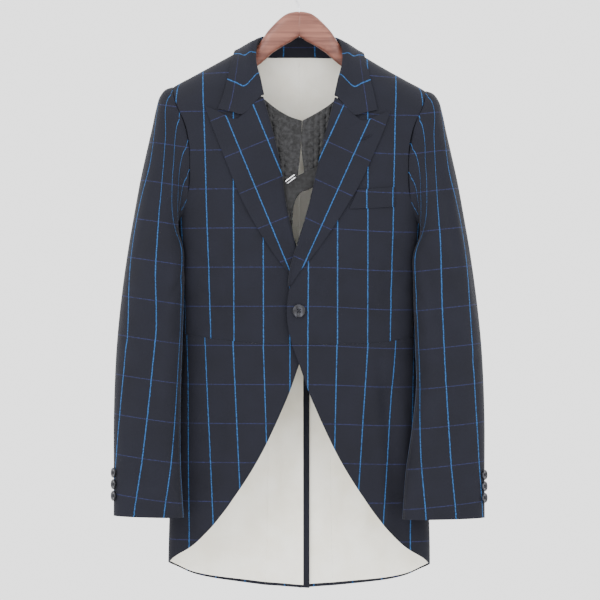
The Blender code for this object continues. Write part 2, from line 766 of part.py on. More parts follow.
def loft(name, rings, finish, settled=True):
    """A closed solid through rings of points, with flat ends."""
    sections, around = rings.shape[:2]
    index = np.arange(sections * around).reshape(sections, around)
    wrapped = np.concatenate([index, index[:, :1]], axis=1)
    a = wrapped[:-1, :-1].ravel()
    b = wrapped[:-1, 1:].ravel()
    c = wrapped[1:, 1:].ravel()
    d = wrapped[1:, :-1].ravel()
    sides = np.concatenate([np.stack([a, b, c], axis=1), np.stack([a, c, d], axis=1)])
    points = rings.reshape(-1, 3)
    ends = np.stack([rings[0].mean(axis=0), rings[-1].mean(axis=0)])
    first = len(points)
    last = first + 1
    start = np.stack([index[0], np.full(around, first), np.roll(index[0], -1)], axis=1)
    finish_end = np.stack([index[-1], np.roll(index[-1], -1), np.full(around, last)], axis=1)
    points = np.concatenate([points, ends])
    if settled:
        points = settle(points)
    return add_mesh(name, points, np.concatenate([sides, start, finish_end]), finish)


def panel(name, side, grid, lift, thickness, finish):
    """A cut piece of the body, a wall whose outer face lies at lift."""
    outer, inner = trimmed(cloth(side, grid, lift), cloth(side, grid, lift - thickness))
    return wall(name, side, outer, inner, finish)


def waist_drop(angle):
    """The drop of the waist seam round the body."""
    x = body_base(angle, np.full_like(angle, WAIST_SIDE_DROP))[..., 0]
    fall = WAIST_CENTRE_DROP - WAIST_SIDE_DROP
    front = WAIST_CENTRE_DROP - fall * np.clip(x / WAIST_SIDE_X, 0.0, 1.0) ** 2
    rise = (WAIST_BACK_DROP - WAIST_SIDE_DROP) * ease(angle, math.pi / 2.0, WAIST_BACK_ANGLE)
    back = WAIST_SIDE_DROP + rise
    return np.where(angle < math.pi / 2.0, front, back)


def side_seam():
    """The seam between a front and its side body, down to the waist."""
    drops = np.linspace(SIDE_SEAM_TOP, float(waist_drop(np.array(SIDE_SEAM_ANGLE))), SIDE_ROWS + 1)
    return np.stack([np.full(SIDE_ROWS + 1, SIDE_SEAM_ANGLE), drops], axis=1)


def waist_front(side):
    """The waist seam from the front edge to the side seam."""
    edge = FRONT_EDGE[-1]
    start = float(angle_at(edge.x, edge.drop))
    angles = np.linspace(start, SIDE_SEAM_ANGLE, FRONT_COLUMNS + 1)
    return np.stack([angles, waist_drop(angles)], axis=1)


def side_back_seam():
    """The seam between a side body and the back, down to the waist."""
    return on_body(along(SIDE_BACK_SEAM, SIDE_ROWS), back=True)


def waist_side():
    """The waist seam from the side seam to the side-back seam."""
    end = side_back_seam()[-1, 0]
    angles = np.linspace(SIDE_SEAM_ANGLE, end, SIDE_COLUMNS + 1)
    drops = waist_drop(angles)
    drops[-1] = WAIST_BACK_DROP
    return np.stack([angles, drops], axis=1)


def front_grid(side):
    """The forebody: shoulder to waist, roll line and front edge to armhole and side seam."""
    neck = np.array(NECK_FRONT[::-1], float) + (PANEL_BELOW_NECK, 0.0)
    roll = np.array(ROLL[side], float)[1:] + (ROLL_CLEARANCE, 0.0)
    edge = np.array(FRONT_EDGE, float)
    seam_x = NECK_RIDGE + PANEL_BELOW_NECK
    seam_end = np.array([[seam_x, shoulder_drop(seam_x)]])
    rows = ARMHOLE_ROWS + SIDE_ROWS
    bunched = np.linspace(0.0, 1.0, ARMHOLE_ROWS + 1) ** SHOULDER_BUNCH
    armhole = on_body(along(ARMHOLE_FRONT, ARMHOLE_ROWS, spread=bunched))
    seam = side_seam()
    armhole[-1] = seam[0]
    down = (joined(armhole, seam)[:, 1] - armhole[0, 1]) / (seam[-1, 1] - armhole[0, 1])
    start = on_body(along(np.vstack([seam_end, neck, roll, edge]), rows, spread=down))
    bottom = waist_front(side)
    start[-1] = bottom[0]
    shoulder_x = np.linspace(seam_x, ARMHOLE_FRONT[0].x, FRONT_COLUMNS + 1)
    top = on_body(np.stack([shoulder_x, shoulder_drop(shoulder_x)], axis=1))
    top[-1] = armhole[0]
    start[0] = top[0]
    return body_patch(start, joined(armhole, seam), top, bottom)


def side_body_grid():
    """The side body: under the armhole, from the side seam to the side-back seam."""
    start = side_seam()
    end = side_back_seam()
    half_turn = np.array([[math.pi / 2.0, UNDERARM_DROP]])
    low_back = on_body(np.array(ARMHOLE_BACK[:3:-1], float), back=True)
    top = along(np.vstack([start[:1], half_turn, low_back]) * ANGLE_SCALE, SIDE_COLUMNS) / ANGLE_SCALE
    top[0] = start[0]
    top[-1] = end[0]
    return body_patch(start, end, top, waist_side())


def back_grid(side, centre_inset=0.0):
    """A back in one with its tail: centre seam to armhole and side-back seam, neck to hem."""
    past_centre = UNDERLAP if side == "right" else 0.0
    bunched = np.linspace(0.0, 1.0, BACK_ARMHOLE_ROWS + 1) ** SHOULDER_BUNCH
    armhole = on_body(along(ARMHOLE_BACK[:5], BACK_ARMHOLE_ROWS, spread=bunched), back=True)
    seam = side_back_seam()
    armhole[-1] = seam[0]
    tail = on_body(along(TAIL_SEAM, TAIL_ROWS), back=True)
    tail[0] = seam[-1]
    end = joined(armhole, seam, tail)
    neck_top = NECK_BACK[-1].drop + PANEL_BELOW_NECK
    drops = np.concatenate([[neck_top], end[1:-1, 1], [CENTRE_HEM_DROP]])
    raised = (neck_top - end[0, 1]) * np.linspace(*CENTRE_SHIFT, BACK_ARMHOLE_ROWS - 1)
    drops[1:BACK_ARMHOLE_ROWS] += raised
    past = (past_centre - centre_inset) * ease(drops, WAIST_BACK_DROP + VENT_OPENS_BELOW_WAIST, VENT_TOP)
    start = on_body(np.stack([-past, drops], axis=1), back=True)
    neck = np.array(NECK_BACK[::-1], float) + (0.0, PANEL_BELOW_NECK)
    seam_x = NECK_RIDGE + PANEL_BELOW_NECK
    neck = np.vstack([neck, [[seam_x, shoulder_drop(seam_x)]]])
    shoulder_x = np.linspace(seam_x, ARMHOLE_BACK[0].x, SHOULDER_COLUMNS + 1)
    shoulder = np.stack([shoulder_x, shoulder_drop(shoulder_x)], axis=1)
    bunched = 1.0 - np.linspace(1.0, 0.0, NECK_COLUMNS + 1) ** SHOULDER_BUNCH
    top = on_body(joined(along(neck, NECK_COLUMNS, spread=bunched), shoulder), back=True)
    top[-1] = armhole[0]
    top[0] = start[0]
    share = np.linspace(0.0, 1.0, len(top))[:, None]
    lower = np.stack([(1.0 - share) * a + share * b for a, b in zip(start, end)])[BACK_ARMHOLE_ROWS:]
    to_seam = slice(None, BACK_ARMHOLE_ROWS + 1)
    upper = body_patch(start[to_seam], end[to_seam], top, lower[0])
    return joined(upper, lower)


def skirt_grid():
    """A skirt: waist seam to hem, cutaway edge to the tail's seam."""
    top = joined(waist_front("left"), waist_side())
    columns = len(top) - 1
    start = on_body(along(CUTAWAY, SKIRT_ROWS))
    start[0] = top[0]
    end = on_body(along(TAIL_SEAM, SKIRT_ROWS), back=True)
    end[0] = top[-1]
    hem = np.array(HEM, float)
    side_x = read(BODY, "drop", "half_width", hem[:, 1])
    front_side = angle_at(hem[:1, 0], hem[:1, 1])
    angles = np.concatenate([front_side, math.pi - np.arcsin(np.clip(hem[1:, 0] / side_x[1:], -1.0, 1.0))])
    bottom = along(np.stack([angles, hem[:, 1]], axis=1) * ANGLE_SCALE, columns) / ANGLE_SCALE
    bottom[0] = start[-1]
    bottom[-1] = end[-1]
    return body_patch(start, end, top, bottom)


def with_turning(grid, hem, edge=0.0):
    """Adds a row of points just above the hem, and a column just inside the starting edge."""
    hem_line, above = body(grid[-2:, :, 0], grid[-2:, :, 1])[::-1]
    share = np.minimum(hem / np.linalg.norm(above - hem_line, axis=1), TURNING_REACH)[:, None]
    row = grid[-1] + (grid[-2] - grid[-1]) * share
    grid = np.concatenate([grid[:-1], row[None], grid[-1:]])
    if not edge:
        return grid
    edge_line = body(grid[:, 0, 0], grid[:, 0, 1])
    beside = body(grid[:, 1, 0], grid[:, 1, 1])
    share = np.minimum(edge / np.linalg.norm(beside - edge_line, axis=1), TURNING_REACH)[:, None]
    column = grid[:, 0] + (grid[:, 1] - grid[:, 0]) * share
    return np.concatenate([grid[:, :1], column[:, None], grid[:, 1:]], axis=1)


def build_body():
    """Fronts, side bodies, backs with tails, skirts, and the lining that shows."""
    lining_lift = -(WOOL + LAYER_GAP)
    skirt = with_turning(skirt_grid(), HEM_TURN_UP, CUTAWAY_TURN)
    for side in SIDES:
        panel(f"front_{side}", side, front_grid(side), 0.0, WOOL, "wool")
        panel(f"side_body_{side}", side, side_body_grid(), 0.0, WOOL, "wool")
        panel(f"back_{side}", side, with_turning(back_grid(side), HEM_TURN_UP), 0.0, WOOL, "wool")
        panel(f"skirt_{side}", side, skirt, 0.0, WOOL, "wool")
        facing = VENT_FACING_WIDTH if side == "right" else 0.0
        lift = lining_lift - (LAYER_GAP if facing else 0.0)
        back_lining = with_turning(back_grid(side, facing), HEM_TURN_UP)[:-1]
        panel(f"lining_back_{side}", side, back_lining, lift, LINING, "lining")
        panel(f"lining_skirt_{side}", side, skirt[:-1, 1:], lining_lift, LINING, "lining")
    drops = np.linspace(VENT_FACING_TOP, VENT_FACING_BOTTOM, TAIL_ROWS + 1)
    across = -UNDERLAP + VENT_FACING_WIDTH * np.array([0.0, 0.5, 1.0])
    x, drop = np.meshgrid(across, drops)
    grid = np.stack([angle_at(x, drop, back=True), drop], axis=-1)
    panel("vent_facing", "right", grid, lining_lift, LINING, "wool")


def build_lapel(side):
    """A peaked lapel: its roll wraps the front's edge, then it lies on the front."""
    rows = LAPEL_ROWS
    columns = LAPEL_COLUMNS
    roll = along(ROLL[side], rows)
    edge = along(LAPEL_EDGE[side], rows)
    gorge = np.array([ROLL[side][0], GORGE_END[side], NOTCH[side], PEAK[side]], float)
    gorge += (0.0, 2.0 * SEAM_GAP)
    gorge[0, 0] += LAPEL_LIP
    top = along(gorge, columns, straight=True)
    top[columns // 2] = gorge[1]
    top[columns // 2 + 1] = gorge[2]
    start = roll + (LAPEL_LIP, 0.0)
    start[0] = top[0]
    share = np.linspace(0.0, 1.0, columns + 1)[:, None]
    bottom = (1.0 - share) * start[-1] + share * edge[-1]
    spots = patch(start, edge, top, bottom)
    u = np.linspace(0.0, 1.0, columns + 1)[None, :]
    crown = LAPEL_LIFT + LAPEL_CROWN * np.sin(np.pi * np.minimum(u * LAPEL_CROWN_REACH, 1.0))
    crown = crown - LAPEL_EDGE_FALL * u
    pressed = ease(roll[:, 1:], *LAPEL_PRESSED)
    crown = crown + (LAPEL_CLOTH + LAYER_GAP - crown) * pressed
    faces = []
    for lips, sink in ((OUTER_LIP, 0.0), (INNER_LIP, LAPEL_CLOTH)):
        wrap = np.stack([start + (lip.away - LAPEL_LIP, 0.0) for lip in lips], axis=1)
        wrap_lift = np.array([[lip.lift for lip in lips]]) + np.zeros((rows + 1, 1))
        grid = np.concatenate([wrap, spots[:, 1:]], axis=1)
        lift = np.concatenate([wrap_lift, crown[:, 1:] - sink], axis=1)
        grid = np.stack([angle_at(grid[..., 0], grid[..., 1]), grid[..., 1]], axis=-1)
        faces.append(cloth(side, grid, lift))
    outer, inner = trimmed(*faces, edges="T")
    wall(f"lapel_{side}", side, outer, inner, "wool")


def collar_frames():
    """The collar's fold on one side, front to back, with its inward and upward directions."""
    fold = np.array(COLLAR_FOLD, float) * (1.0, 1.0, -1.0)
    fold = along(fold, COLLAR_COLUMNS)
    tangent = np.gradient(fold, axis=0)
    tangent[-1] = (-1.0, 0.0, 0.0)
    tangent /= np.linalg.norm(tangent, axis=1, keepdims=True)
    inward = fold * (-1.0, -1.0, 0.0)
    inward[-1, 0] = 0.0
    inward -= (inward * tangent).sum(axis=1, keepdims=True) * tangent
    inward /= np.linalg.norm(inward, axis=1, keepdims=True)
    upward = np.cross(tangent, inward)
    upward *= np.where(upward[:, 2:3] < 0.0, -1.0, 1.0)
    return fold, inward, upward


def whole_collar(right, left):
    """One strip from the right front round the back to the left front."""
    mirrored = right * (-1.0, 1.0, 1.0)
    return np.concatenate([mirrored, left[:, -2::-1]], axis=1)


def leaf_faces(side):
    """Both faces of half the collar's leaf, rows from the fold to the outer edge."""
    fold, inward, upward = collar_frames()
    front = on_body(along((COLLAR_TIP[side],) + COLLAR_EDGE_FRONT, 3))
    edge = [body(front[:, 0], front[:, 1], COLLAR_LIFT)]
    ridge_drop = float(shoulder_drop(COLLAR_EDGE_RIDGE))
    ridge = body_base(angle_at(COLLAR_EDGE_RIDGE, ridge_drop), ridge_drop)
    edge.append((ridge + (0.0, 0.0, COLLAR_LIFT + COLLAR_RIDGE_EASE))[None])
    back = on_body(COLLAR_EDGE_BACK, back=True)
    edge.append(body(back[:, 0], back[:, 1], COLLAR_LIFT))
    outer_edge = along(np.concatenate(edge), COLLAR_COLUMNS)
    over = COLLAR_TURNS[-1]
    gorge = along([COLLAR_FOLD_START, GORGE_END[side], COLLAR_TIP[side]], LEAF_ROWS, straight=True)
    to_gorge = np.array(GORGE_END[side]) - COLLAR_TIP[side]
    gorge[LEAF_ROWS // 2 + 1] = COLLAR_TIP[side] + to_gorge * COLLAR_GORGE_SHARE
    gorge[LEAF_ROWS // 2] = GORGE_END[side]
    gorge = on_body(gorge)
    front_side = body(gorge[:, 0], gorge[:, 1], np.linspace(COLLAR_FRONT_LIFT, COLLAR_LIFT, LEAF_ROWS + 1))
    top = fold + COLLAR_ROLL * (over.inward * inward + over.upward * upward)
    front_side[0] = top[0]
    front_side[-1] = outer_edge[0]
    centre_back = np.linspace(top[-1], outer_edge[-1], LEAF_ROWS + 1)
    sheet = patch(front_side, centre_back, top, outer_edge)
    share = np.linspace(0.0, 1.0, LEAF_ROWS + 1)[:, None, None]
    normal = grid_normals(sheet)
    from_inside = sheet - (0.0, 0.0, -CHEST_DROP)
    normal *= np.where((normal * from_inside).sum(axis=-1, keepdims=True) < 0.0, -1.0, 1.0)
    sheet = sheet + normal * COLLAR_BULGE * np.sin(np.pi * share)
    over_seam = np.exp(-(((sheet[..., 1] - SHOULDER_SEAM_Y) / COLLAR_EASE_REACH) ** 2))
    off = keep_off(sheet, COLLAR_LIFT + COLLAR_RIDGE_EASE * over_seam)
    sheet = sheet + (off - sheet) * ease(share, 0.0, COLLAR_FREE_SHARE)
    faces = []
    for radius, sink in ((COLLAR_ROLL, 0.0), (COLLAR_ROLL - LAPEL_CLOTH, LAPEL_CLOTH)):
        lip = [fold + radius * inward - COLLAR_LIP * upward]
        lip += [fold + radius * (turn.inward * inward + turn.upward * upward) for turn in COLLAR_TURNS]
        lip = np.stack(lip)
        faces.append(np.concatenate([lip, (sheet - normal * sink)[1:]]))
    return faces


def build_collar():
    """The collar's leaf, folded over, and the stand inside it."""
    halves = {side: leaf_faces(side) for side in SIDES}
    outer, inner = (whole_collar(halves["right"][k], halves["left"][k]) for k in range(2))
    outer, inner = trimmed(outer, inner, "SE")
    wall("collar_leaf", "left", outer, inner, "wool")

    fold, inward, upward = collar_frames()
    front = on_body(along(NECK_FRONT, 2))
    back = on_body(NECK_BACK, back=True)
    ridge_drop = float(shoulder_drop(NECK_RIDGE))
    ridge = body_base(angle_at(NECK_RIDGE, ridge_drop), ridge_drop)
    faces = []
    for layer in (0.0, LAPEL_CLOTH):
        sink = STAND_DEPTH + layer
        radius = COLLAR_ROLL - LAPEL_CLOTH + layer
        front_seam = body(front[:, 0], front[:, 1], -sink)
        ridge_seam = ridge - (0.0, 0.0, sink + STAND_RIDGE_DEPTH)
        back_seam = body(back[:, 0], back[:, 1], -sink)
        seam = along(np.vstack([front_seam, ridge_seam, back_seam]), COLLAR_COLUMNS)
        head = fold + radius * inward - (COLLAR_LIP + SEAM_GAP) * upward
        share = np.linspace(0.0, 1.0, 3)[:, None, None]
        faces.append(((1.0 - share) * head[None] + share * seam[None])[:, STAND_STARTS:])
    outer, inner = (whole_collar(face, face) for face in faces)
    wall("collar_stand", "left", outer, inner, "wool")


def sleeve_ring(side, row, angles):
    """Points of one sleeve section, 0 at the outside and a quarter turn at the front."""
    inner_x = row.inner_left if side == "left" else row.inner_right
    outer = np.array([row.outer_x, row.y, -row.outer_drop])
    inner = np.array([inner_x, row.y, -row.inner_drop])
    middle = (outer + inner) / 2.0
    reach = (outer - inner) / 2.0
    power = 2.0 / SLEEVE_SQUARENESS
    cosine = np.sign(np.cos(angles)) * np.abs(np.cos(angles)) ** power
    sine = np.sign(np.sin(angles)) * np.abs(np.sin(angles)) ** power
    points = middle + cosine[:, None] * reach
    points[:, 1] -= sine * row.half_depth
    return points


def armhole_ring(angles):
    """Points of the armhole's edge that face the first sleeve section."""
    share = (1.0 - np.cos(angles)) / 2.0
    drop = ARMHOLE_FRONT[0].drop + (UNDERARM_DROP - ARMHOLE_FRONT[0].drop) * share
    bottom = (Spot(float(read(BODY, "drop", "half_width", UNDERARM_DROP)), UNDERARM_DROP),)
    front_x = read(ARMHOLE_FRONT + bottom, "drop", "x", drop)
    back_x = read(ARMHOLE_BACK + bottom, "drop", "x", drop)
    front = body(angle_at(front_x, drop), drop)
    back = body(angle_at(back_x, drop, back=True), drop)
    return np.where((np.sin(angles) >= 0.0)[:, None], front, back)


def sleeve_faces(side, angles):
    """Both faces of a sleeve strip between two angles, row by row."""
    full = np.linspace(0.0, 2.0 * math.pi, SLEEVE_SAMPLES + 1)[:-1]
    loop = armhole_ring(full)
    home = sleeve_ring(side, SLEEVE[0], full)
    shift = loop - home
    outer_line = np.array([(row.outer_x, row.outer_drop) for row in SLEEVE])
    run = np.concatenate([[0.0], np.cumsum(np.linalg.norm(np.diff(outer_line, axis=0), axis=1))])
    tubes = []
    for row, travel in zip(SLEEVE, run):
        weight = max(0.0, 1.0 - travel / ARMHOLE_BLEND) ** ARMHOLE_BLEND_POWER
        ring = sleeve_ring(side, row, full) + shift * weight
        ring = ring + sleeve_trough(side, full, -ring[:, 2], ring)
        tubes.append(clear_of_body(ring, BODY_CLEARANCE))
    tube = np.stack(tubes)
    around = np.roll(tube, -1, axis=1) - np.roll(tube, 1, axis=1)
    down = np.gradient(tube, axis=0)
    normal = np.cross(around, down)
    normal /= np.maximum(np.linalg.norm(normal, axis=-1, keepdims=True), 1e-9)
    centre = tube.mean(axis=1, keepdims=True)
    outward = ((tube - centre) * normal).sum(axis=-1).mean()
    normal *= math.copysign(1.0, outward)
    tube = tube.copy()
    tube[0] += seam_direction(tube) * ARMHOLE_GAP
    faces = []
    for skin in (tube, tube - normal * WOOL):
        wrapped = np.concatenate([skin, skin[:, :1]], axis=1)
        keys = np.append(full, 2.0 * math.pi)
        rows = []
        for k in range(len(SLEEVE)):
            wanted = np.mod(angles[k], 2.0 * math.pi)
            columns = [np.interp(wanted, keys, wrapped[k, :, axis]) for axis in range(3)]
            rows.append(np.stack(columns, axis=1))
        faces.append(np.stack(rows))
    return faces


def seam_direction(tube):
    """From the armhole's edge toward the next sleeve section."""
    step = tube[1] - tube[0]
    return step / np.maximum(np.linalg.norm(step, axis=1, keepdims=True), 1e-9)


def sleeve_trough(side, angles, drops, ring):
    """Moves a ring's points toward its middle where a fold runs."""
    middle = ring.mean(axis=0)
    inward = middle - ring
    inward /= np.linalg.norm(inward, axis=1, keepdims=True)
    depth = np.zeros(len(angles))
    for trough in SLEEVE_TROUGHS:
        if trough.side != side:
            continue
        share = np.clip((drops - trough.top) / (trough.bottom - trough.top), 0.0, 1.0)
        target = np.radians(trough.top_angle + (trough.bottom_angle - trough.top_angle) * share)
        apart = np.degrees(np.abs(np.mod(angles - target + math.pi, 2.0 * math.pi) - math.pi))
        length = ease(drops, trough.top, trough.top + TROUGH_FADE)
        length = length * (1.0 - ease(drops, trough.bottom - TROUGH_FADE, trough.bottom + TROUGH_FADE))
        depth += trough.depth * np.exp(-((apart / trough.width) ** 2)) * length
    return inward * depth[:, None]


def seam_angles(seam):
    """A seam's angle at each sleeve section."""
    share = ease(np.arange(len(SLEEVE)), 0.0, len(SLEEVE) - 1.0)
    return seam[0] + (seam[1] - seam[0]) * share


def build_sleeves():
    """Each sleeve in two pieces, which meet at the elbow seam and the forearm seam."""
    elbow = seam_angles(ELBOW_SEAM)
    forearm = seam_angles(FOREARM_SEAM)
    for side in SIDES:
        spread = np.linspace(0.0, 1.0, TOP_SLEEVE_COLUMNS + 1)
        angles = elbow[:, None] + (forearm - elbow)[:, None] * spread
        outer, inner = trimmed(*sleeve_faces(side, angles), edges="SEE")
        wall(f"top_sleeve_{side}", side, outer, inner, "wool")
        spread = np.linspace(0.0, 1.0, UNDER_SLEEVE_COLUMNS + 1)
        angles = forearm[:, None] + (elbow + 2.0 * math.pi - forearm)[:, None] * spread
        outer, inner = trimmed(*sleeve_faces(side, angles), edges="SSE")
        wall(f"under_sleeve_{side}", side, outer, inner, "wool")


def build_welt():
    """The breast pocket's welt, laid on the left front."""
    top = along(WELT_TOP, WELT_COLUMNS)
    bottom = along(WELT_BOTTOM, WELT_COLUMNS)
    share = np.linspace(0.0, 1.0, 3)[:, None, None]
    spots = (1.0 - share) * top[None] + share * bottom[None]
    grid = np.stack([angle_at(spots[..., 0], spots[..., 1]), spots[..., 1]], axis=-1)
    panel("breast_welt", "left", grid, LAYER_GAP + WELT_CLOTH, WELT_CLOTH, "wool")


def build_harness():
    """The chest harness: two leather halves, a strap across them, and its buckle."""
    for side in SIDES:
        start = on_body(along(HARNESS_CENTRE[side], HARNESS_ROWS))
        end = on_body(along(HARNESS_OUTER[side], HARNESS_ROWS))
        top = on_body(along(HARNESS_TOP[side], HARNESS_COLUMNS))
        share = np.linspace(0.0, 1.0, HARNESS_COLUMNS + 1)[:, None]
        bottom = (1.0 - share) * start[-1] + share * end[-1]
        grid = body_patch(start, end, top, bottom)
        outer = body(grid[..., 0], grid[..., 1], HARNESS_LIFT)
        inner = body(grid[..., 0], grid[..., 1], HARNESS_LIFT - LEATHER)
        outer, inner = trimmed(outer, inner)
        wall(f"harness_{side}", side, outer, inner, "leather")
    top = along(STRAP_TOP, STRAP_COLUMNS)
    bottom = along(STRAP_BOTTOM, STRAP_COLUMNS)
    share = np.linspace(0.0, 1.0, 3)[:, None, None]
    spots = (1.0 - share) * top[None] + share * bottom[None]
    angle = angle_at(spots[..., 0], spots[..., 1])
    lift = HARNESS_LIFT + LAYER_GAP
    outer = body(angle, spots[..., 1], lift + LEATHER)
    inner = body(angle, spots[..., 1], lift)
    wall("harness_strap", "left", outer, inner, "leather")


def wire(name, points, diameter, finish, cyclic=False):
    """A round wire along points in millimetres."""
    curve = bpy.data.curves.new(name, "CURVE")
    curve.dimensions = "3D"
    curve.bevel_depth = diameter / 2.0 * MM
    curve.bevel_resolution = 2
    curve.use_fill_caps = not cyclic
    spline = curve.splines.new("POLY")
    spline.points.add(len(points) - 1)
    for knot, point in zip(spline.points, points * MM):
        knot.co = (*point, 1.0)
    spline.use_cyclic_u = cyclic
    curve.materials.append(material(finish))
    item = bpy.data.objects.new(name, curve)
    bpy.context.scene.collection.objects.link(item)
    return item


def build_buckle():
    """A small wire frame that stands up from the strap at a slant."""
    half_length = BUCKLE_LENGTH / 2.0 - BUCKLE_CORNER
    half_width = BUCKLE_WIDTH / 2.0 - BUCKLE_CORNER
    outline = []
    for quarter, (a, b) in enumerate(((1, 1), (-1, 1), (-1, -1), (1, -1))):
        turn = np.linspace(0.0, math.pi / 2.0, CORNER_POINTS) + quarter * math.pi / 2.0
        along_frame = a * half_length + BUCKLE_CORNER * np.cos(turn)
        across_frame = b * half_width + BUCKLE_CORNER * np.sin(turn)
        outline.append(np.stack([along_frame, across_frame], axis=1))
    outline = np.concatenate(outline)
    long_way = np.array([math.cos(BUCKLE_SLANT), 0.0, math.sin(BUCKLE_SLANT)])
    in_face = np.array([-math.sin(BUCKLE_SLANT), 0.0, math.cos(BUCKLE_SLANT)])
    wide_way = in_face * math.cos(BUCKLE_TILT) + np.array([0.0, -1.0, 0.0]) * math.sin(BUCKLE_TILT)
    centre = body(angle_at(BUCKLE_CENTRE.x, BUCKLE_CENTRE.drop), BUCKLE_CENTRE.drop, BUCKLE_LIFT)
    points = centre + outline[:, :1] * long_way + outline[:, 1:] * wide_way
    wire("harness_buckle", points, BUCKLE_WIRE, "steel", cyclic=True)


def build_button(name, centre, normal, diameter, thickness, steps):
    """A turned button with a raised rim and a dished face."""
    radius = diameter / 2.0
    normal = normal / np.linalg.norm(normal)
    side_way = np.cross(normal, (0.0, 0.0, 1.0))
    side_way /= np.linalg.norm(side_way)
    up_way = np.cross(side_way, normal)
    turn = np.linspace(0.0, 2.0 * math.pi, steps + 1)[:-1, None]
    circle = np.cos(turn) * side_way + np.sin(turn) * up_way
    rings = np.stack([centre + circle * radius * r + normal * thickness * h for r, h in BUTTON_PROFILE])
    loft(name, rings, "horn")


def build_buttons():
    """The front button on the left front's edge, and three on each cuff."""
    angle = angle_at(FRONT_BUTTON.x, FRONT_BUTTON.drop)
    grid = np.array([angle, FRONT_BUTTON.drop])
    foot = cloth("left", grid, np.array(LAYER_GAP))
    ahead = cloth("left", grid, np.array(LAYER_GAP + 1.0))
    sizes = (FRONT_BUTTON_DIAMETER, FRONT_BUTTON_THICKNESS, FRONT_BUTTON_SIDES)
    build_button("front_button", foot, ahead - foot, *sizes)
    drops = np.array([row.outer_drop for row in SLEEVE])
    angles = np.full((len(SLEEVE), 3), CUFF_BUTTON_ANGLE) + (-BESIDE_BUTTON, 0.0, BESIDE_BUTTON)
    for side, sign in SIDES.items():
        outer, _ = sleeve_faces(side, angles)
        for number, drop in enumerate(CUFF_BUTTON_DROPS, start=1):
            place = [[np.interp(drop, drops, outer[:, k, axis]) for axis in range(3)] for k in range(3)]
            place = np.array(place)
            lower = np.array([np.interp(drop + BELOW_BUTTON, drops, outer[:, 1, axis]) for axis in range(3)])
            normal = np.cross(place[2] - place[0], lower - place[1])
            normal *= math.copysign(1.0, normal[0])
            normal /= np.linalg.norm(normal)
            foot = place[1] + normal * CUFF_BUTTON_STANDOFF
            mirror = np.array([sign, 1.0, 1.0])
            name = f"cuff_button_{side}_{number}"
            foot = foot * mirror
            normal = normal * mirror
            build_button(name, foot, normal, CUFF_BUTTON_DIAMETER, CUFF_BUTTON_THICKNESS, CUFF_BUTTON_SIDES)


def build_hanger():
    """The wooden hanger inside the shoulders, and its wire hook."""
    arms = [Arm(-arm.x, *arm[1:]) for arm in HANGER[:0:-1]] + list(HANGER)
    turn = np.linspace(0.0, 2.0 * math.pi, HANGER_SIDES + 1)[:-1]
    power = 2.0 / HANGER_SQUARENESS
    up = np.sign(np.cos(turn)) * np.abs(np.cos(turn)) ** power
    out = np.sign(np.sin(turn)) * np.abs(np.sin(turn)) ** power
    rings = []
    for arm in arms:
        middle = (arm.top + arm.bottom) / 2.0
        half = (arm.bottom - arm.top) / 2.0
        lean = math.copysign(HANGER_LEAN, arm.x) * float(ease(abs(arm.x), *HANGER_LEAN_REACH))
        x = arm.x + lean * up
        y = arm.y + out * arm.half_thickness
        z = -middle + up * half
        rings.append(np.stack([x, y, z], axis=1))
    loft("hanger_body", np.array(rings), "wood")
    wire_radius = HOOK_RADIUS + HOOK_WIRE / 2.0
    middle = np.array([0.0, 0.0, -HOOK_RADIUS])
    sweep = np.linspace(HOOK_START_ANGLE, HOOK_TIP_ANGLE, HOOK_ARC_POINTS)
    arc = middle + wire_radius * np.stack([np.cos(sweep), 0.0 * sweep, np.sin(sweep)], axis=1)
    stem = np.array([[0.0, -HANGER[0].top + SEAM_GAP], [0.0, -HOOK_LEAVES_STEM], HOOK_NECK])
    stem = np.stack([stem[:, 0], 0.0 * stem[:, 0], stem[:, 1]], axis=1)
    route = along(np.vstack([stem, arc]), HOOK_STEPS)
    wire("hanger_hook", route, HOOK_WIRE, "steel")


def main():
    """Builds every piece of the coat and its hanger."""
    for item in list(bpy.data.objects):
        bpy.data.objects.remove(item, do_unlink=True)
    build_body()
    for side in SIDES:
        build_lapel(side)
    build_collar()
    build_sleeves()
    build_welt()
    build_harness()
    build_buckle()
    build_buttons()
    build_hanger()


main()
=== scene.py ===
"""The looks of a cutaway tailcoat on a wooden hanger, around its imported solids.

The cloth is made again here as thin shells on the same tables and formulas as the solids, but
finer, with seams, creases and a windowpane check laid along each piece. Sizes are in millimetres
until a mesh is made. A drop is a depth below the hook. Left and right are the wearer's, and most
tables hold one side of the coat: x counts outward from the centre line.
"""

import logging
import math
from dataclasses import dataclass
from enum import Enum
from typing import Any, NamedTuple, TypeAlias

import bmesh
import bpy
import numpy as np
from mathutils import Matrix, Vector


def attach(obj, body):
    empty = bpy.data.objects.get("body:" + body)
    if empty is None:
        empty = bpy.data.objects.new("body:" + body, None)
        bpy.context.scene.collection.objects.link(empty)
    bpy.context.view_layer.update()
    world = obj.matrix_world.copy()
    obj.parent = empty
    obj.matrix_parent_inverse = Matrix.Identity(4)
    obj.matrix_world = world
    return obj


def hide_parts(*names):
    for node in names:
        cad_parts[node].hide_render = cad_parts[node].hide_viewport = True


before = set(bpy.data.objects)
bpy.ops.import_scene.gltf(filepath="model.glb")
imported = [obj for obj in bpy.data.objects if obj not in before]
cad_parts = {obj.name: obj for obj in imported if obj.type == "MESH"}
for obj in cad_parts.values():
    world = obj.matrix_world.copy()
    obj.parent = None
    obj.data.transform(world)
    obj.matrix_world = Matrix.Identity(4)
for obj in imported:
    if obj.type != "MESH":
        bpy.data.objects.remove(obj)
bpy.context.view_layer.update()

LOG = logging.getLogger("tailcoat")
Array: TypeAlias = np.ndarray
Table: TypeAlias = tuple[Any, ...]
Tree: TypeAlias = bpy.types.NodeTree
Material: TypeAlias = bpy.types.Material
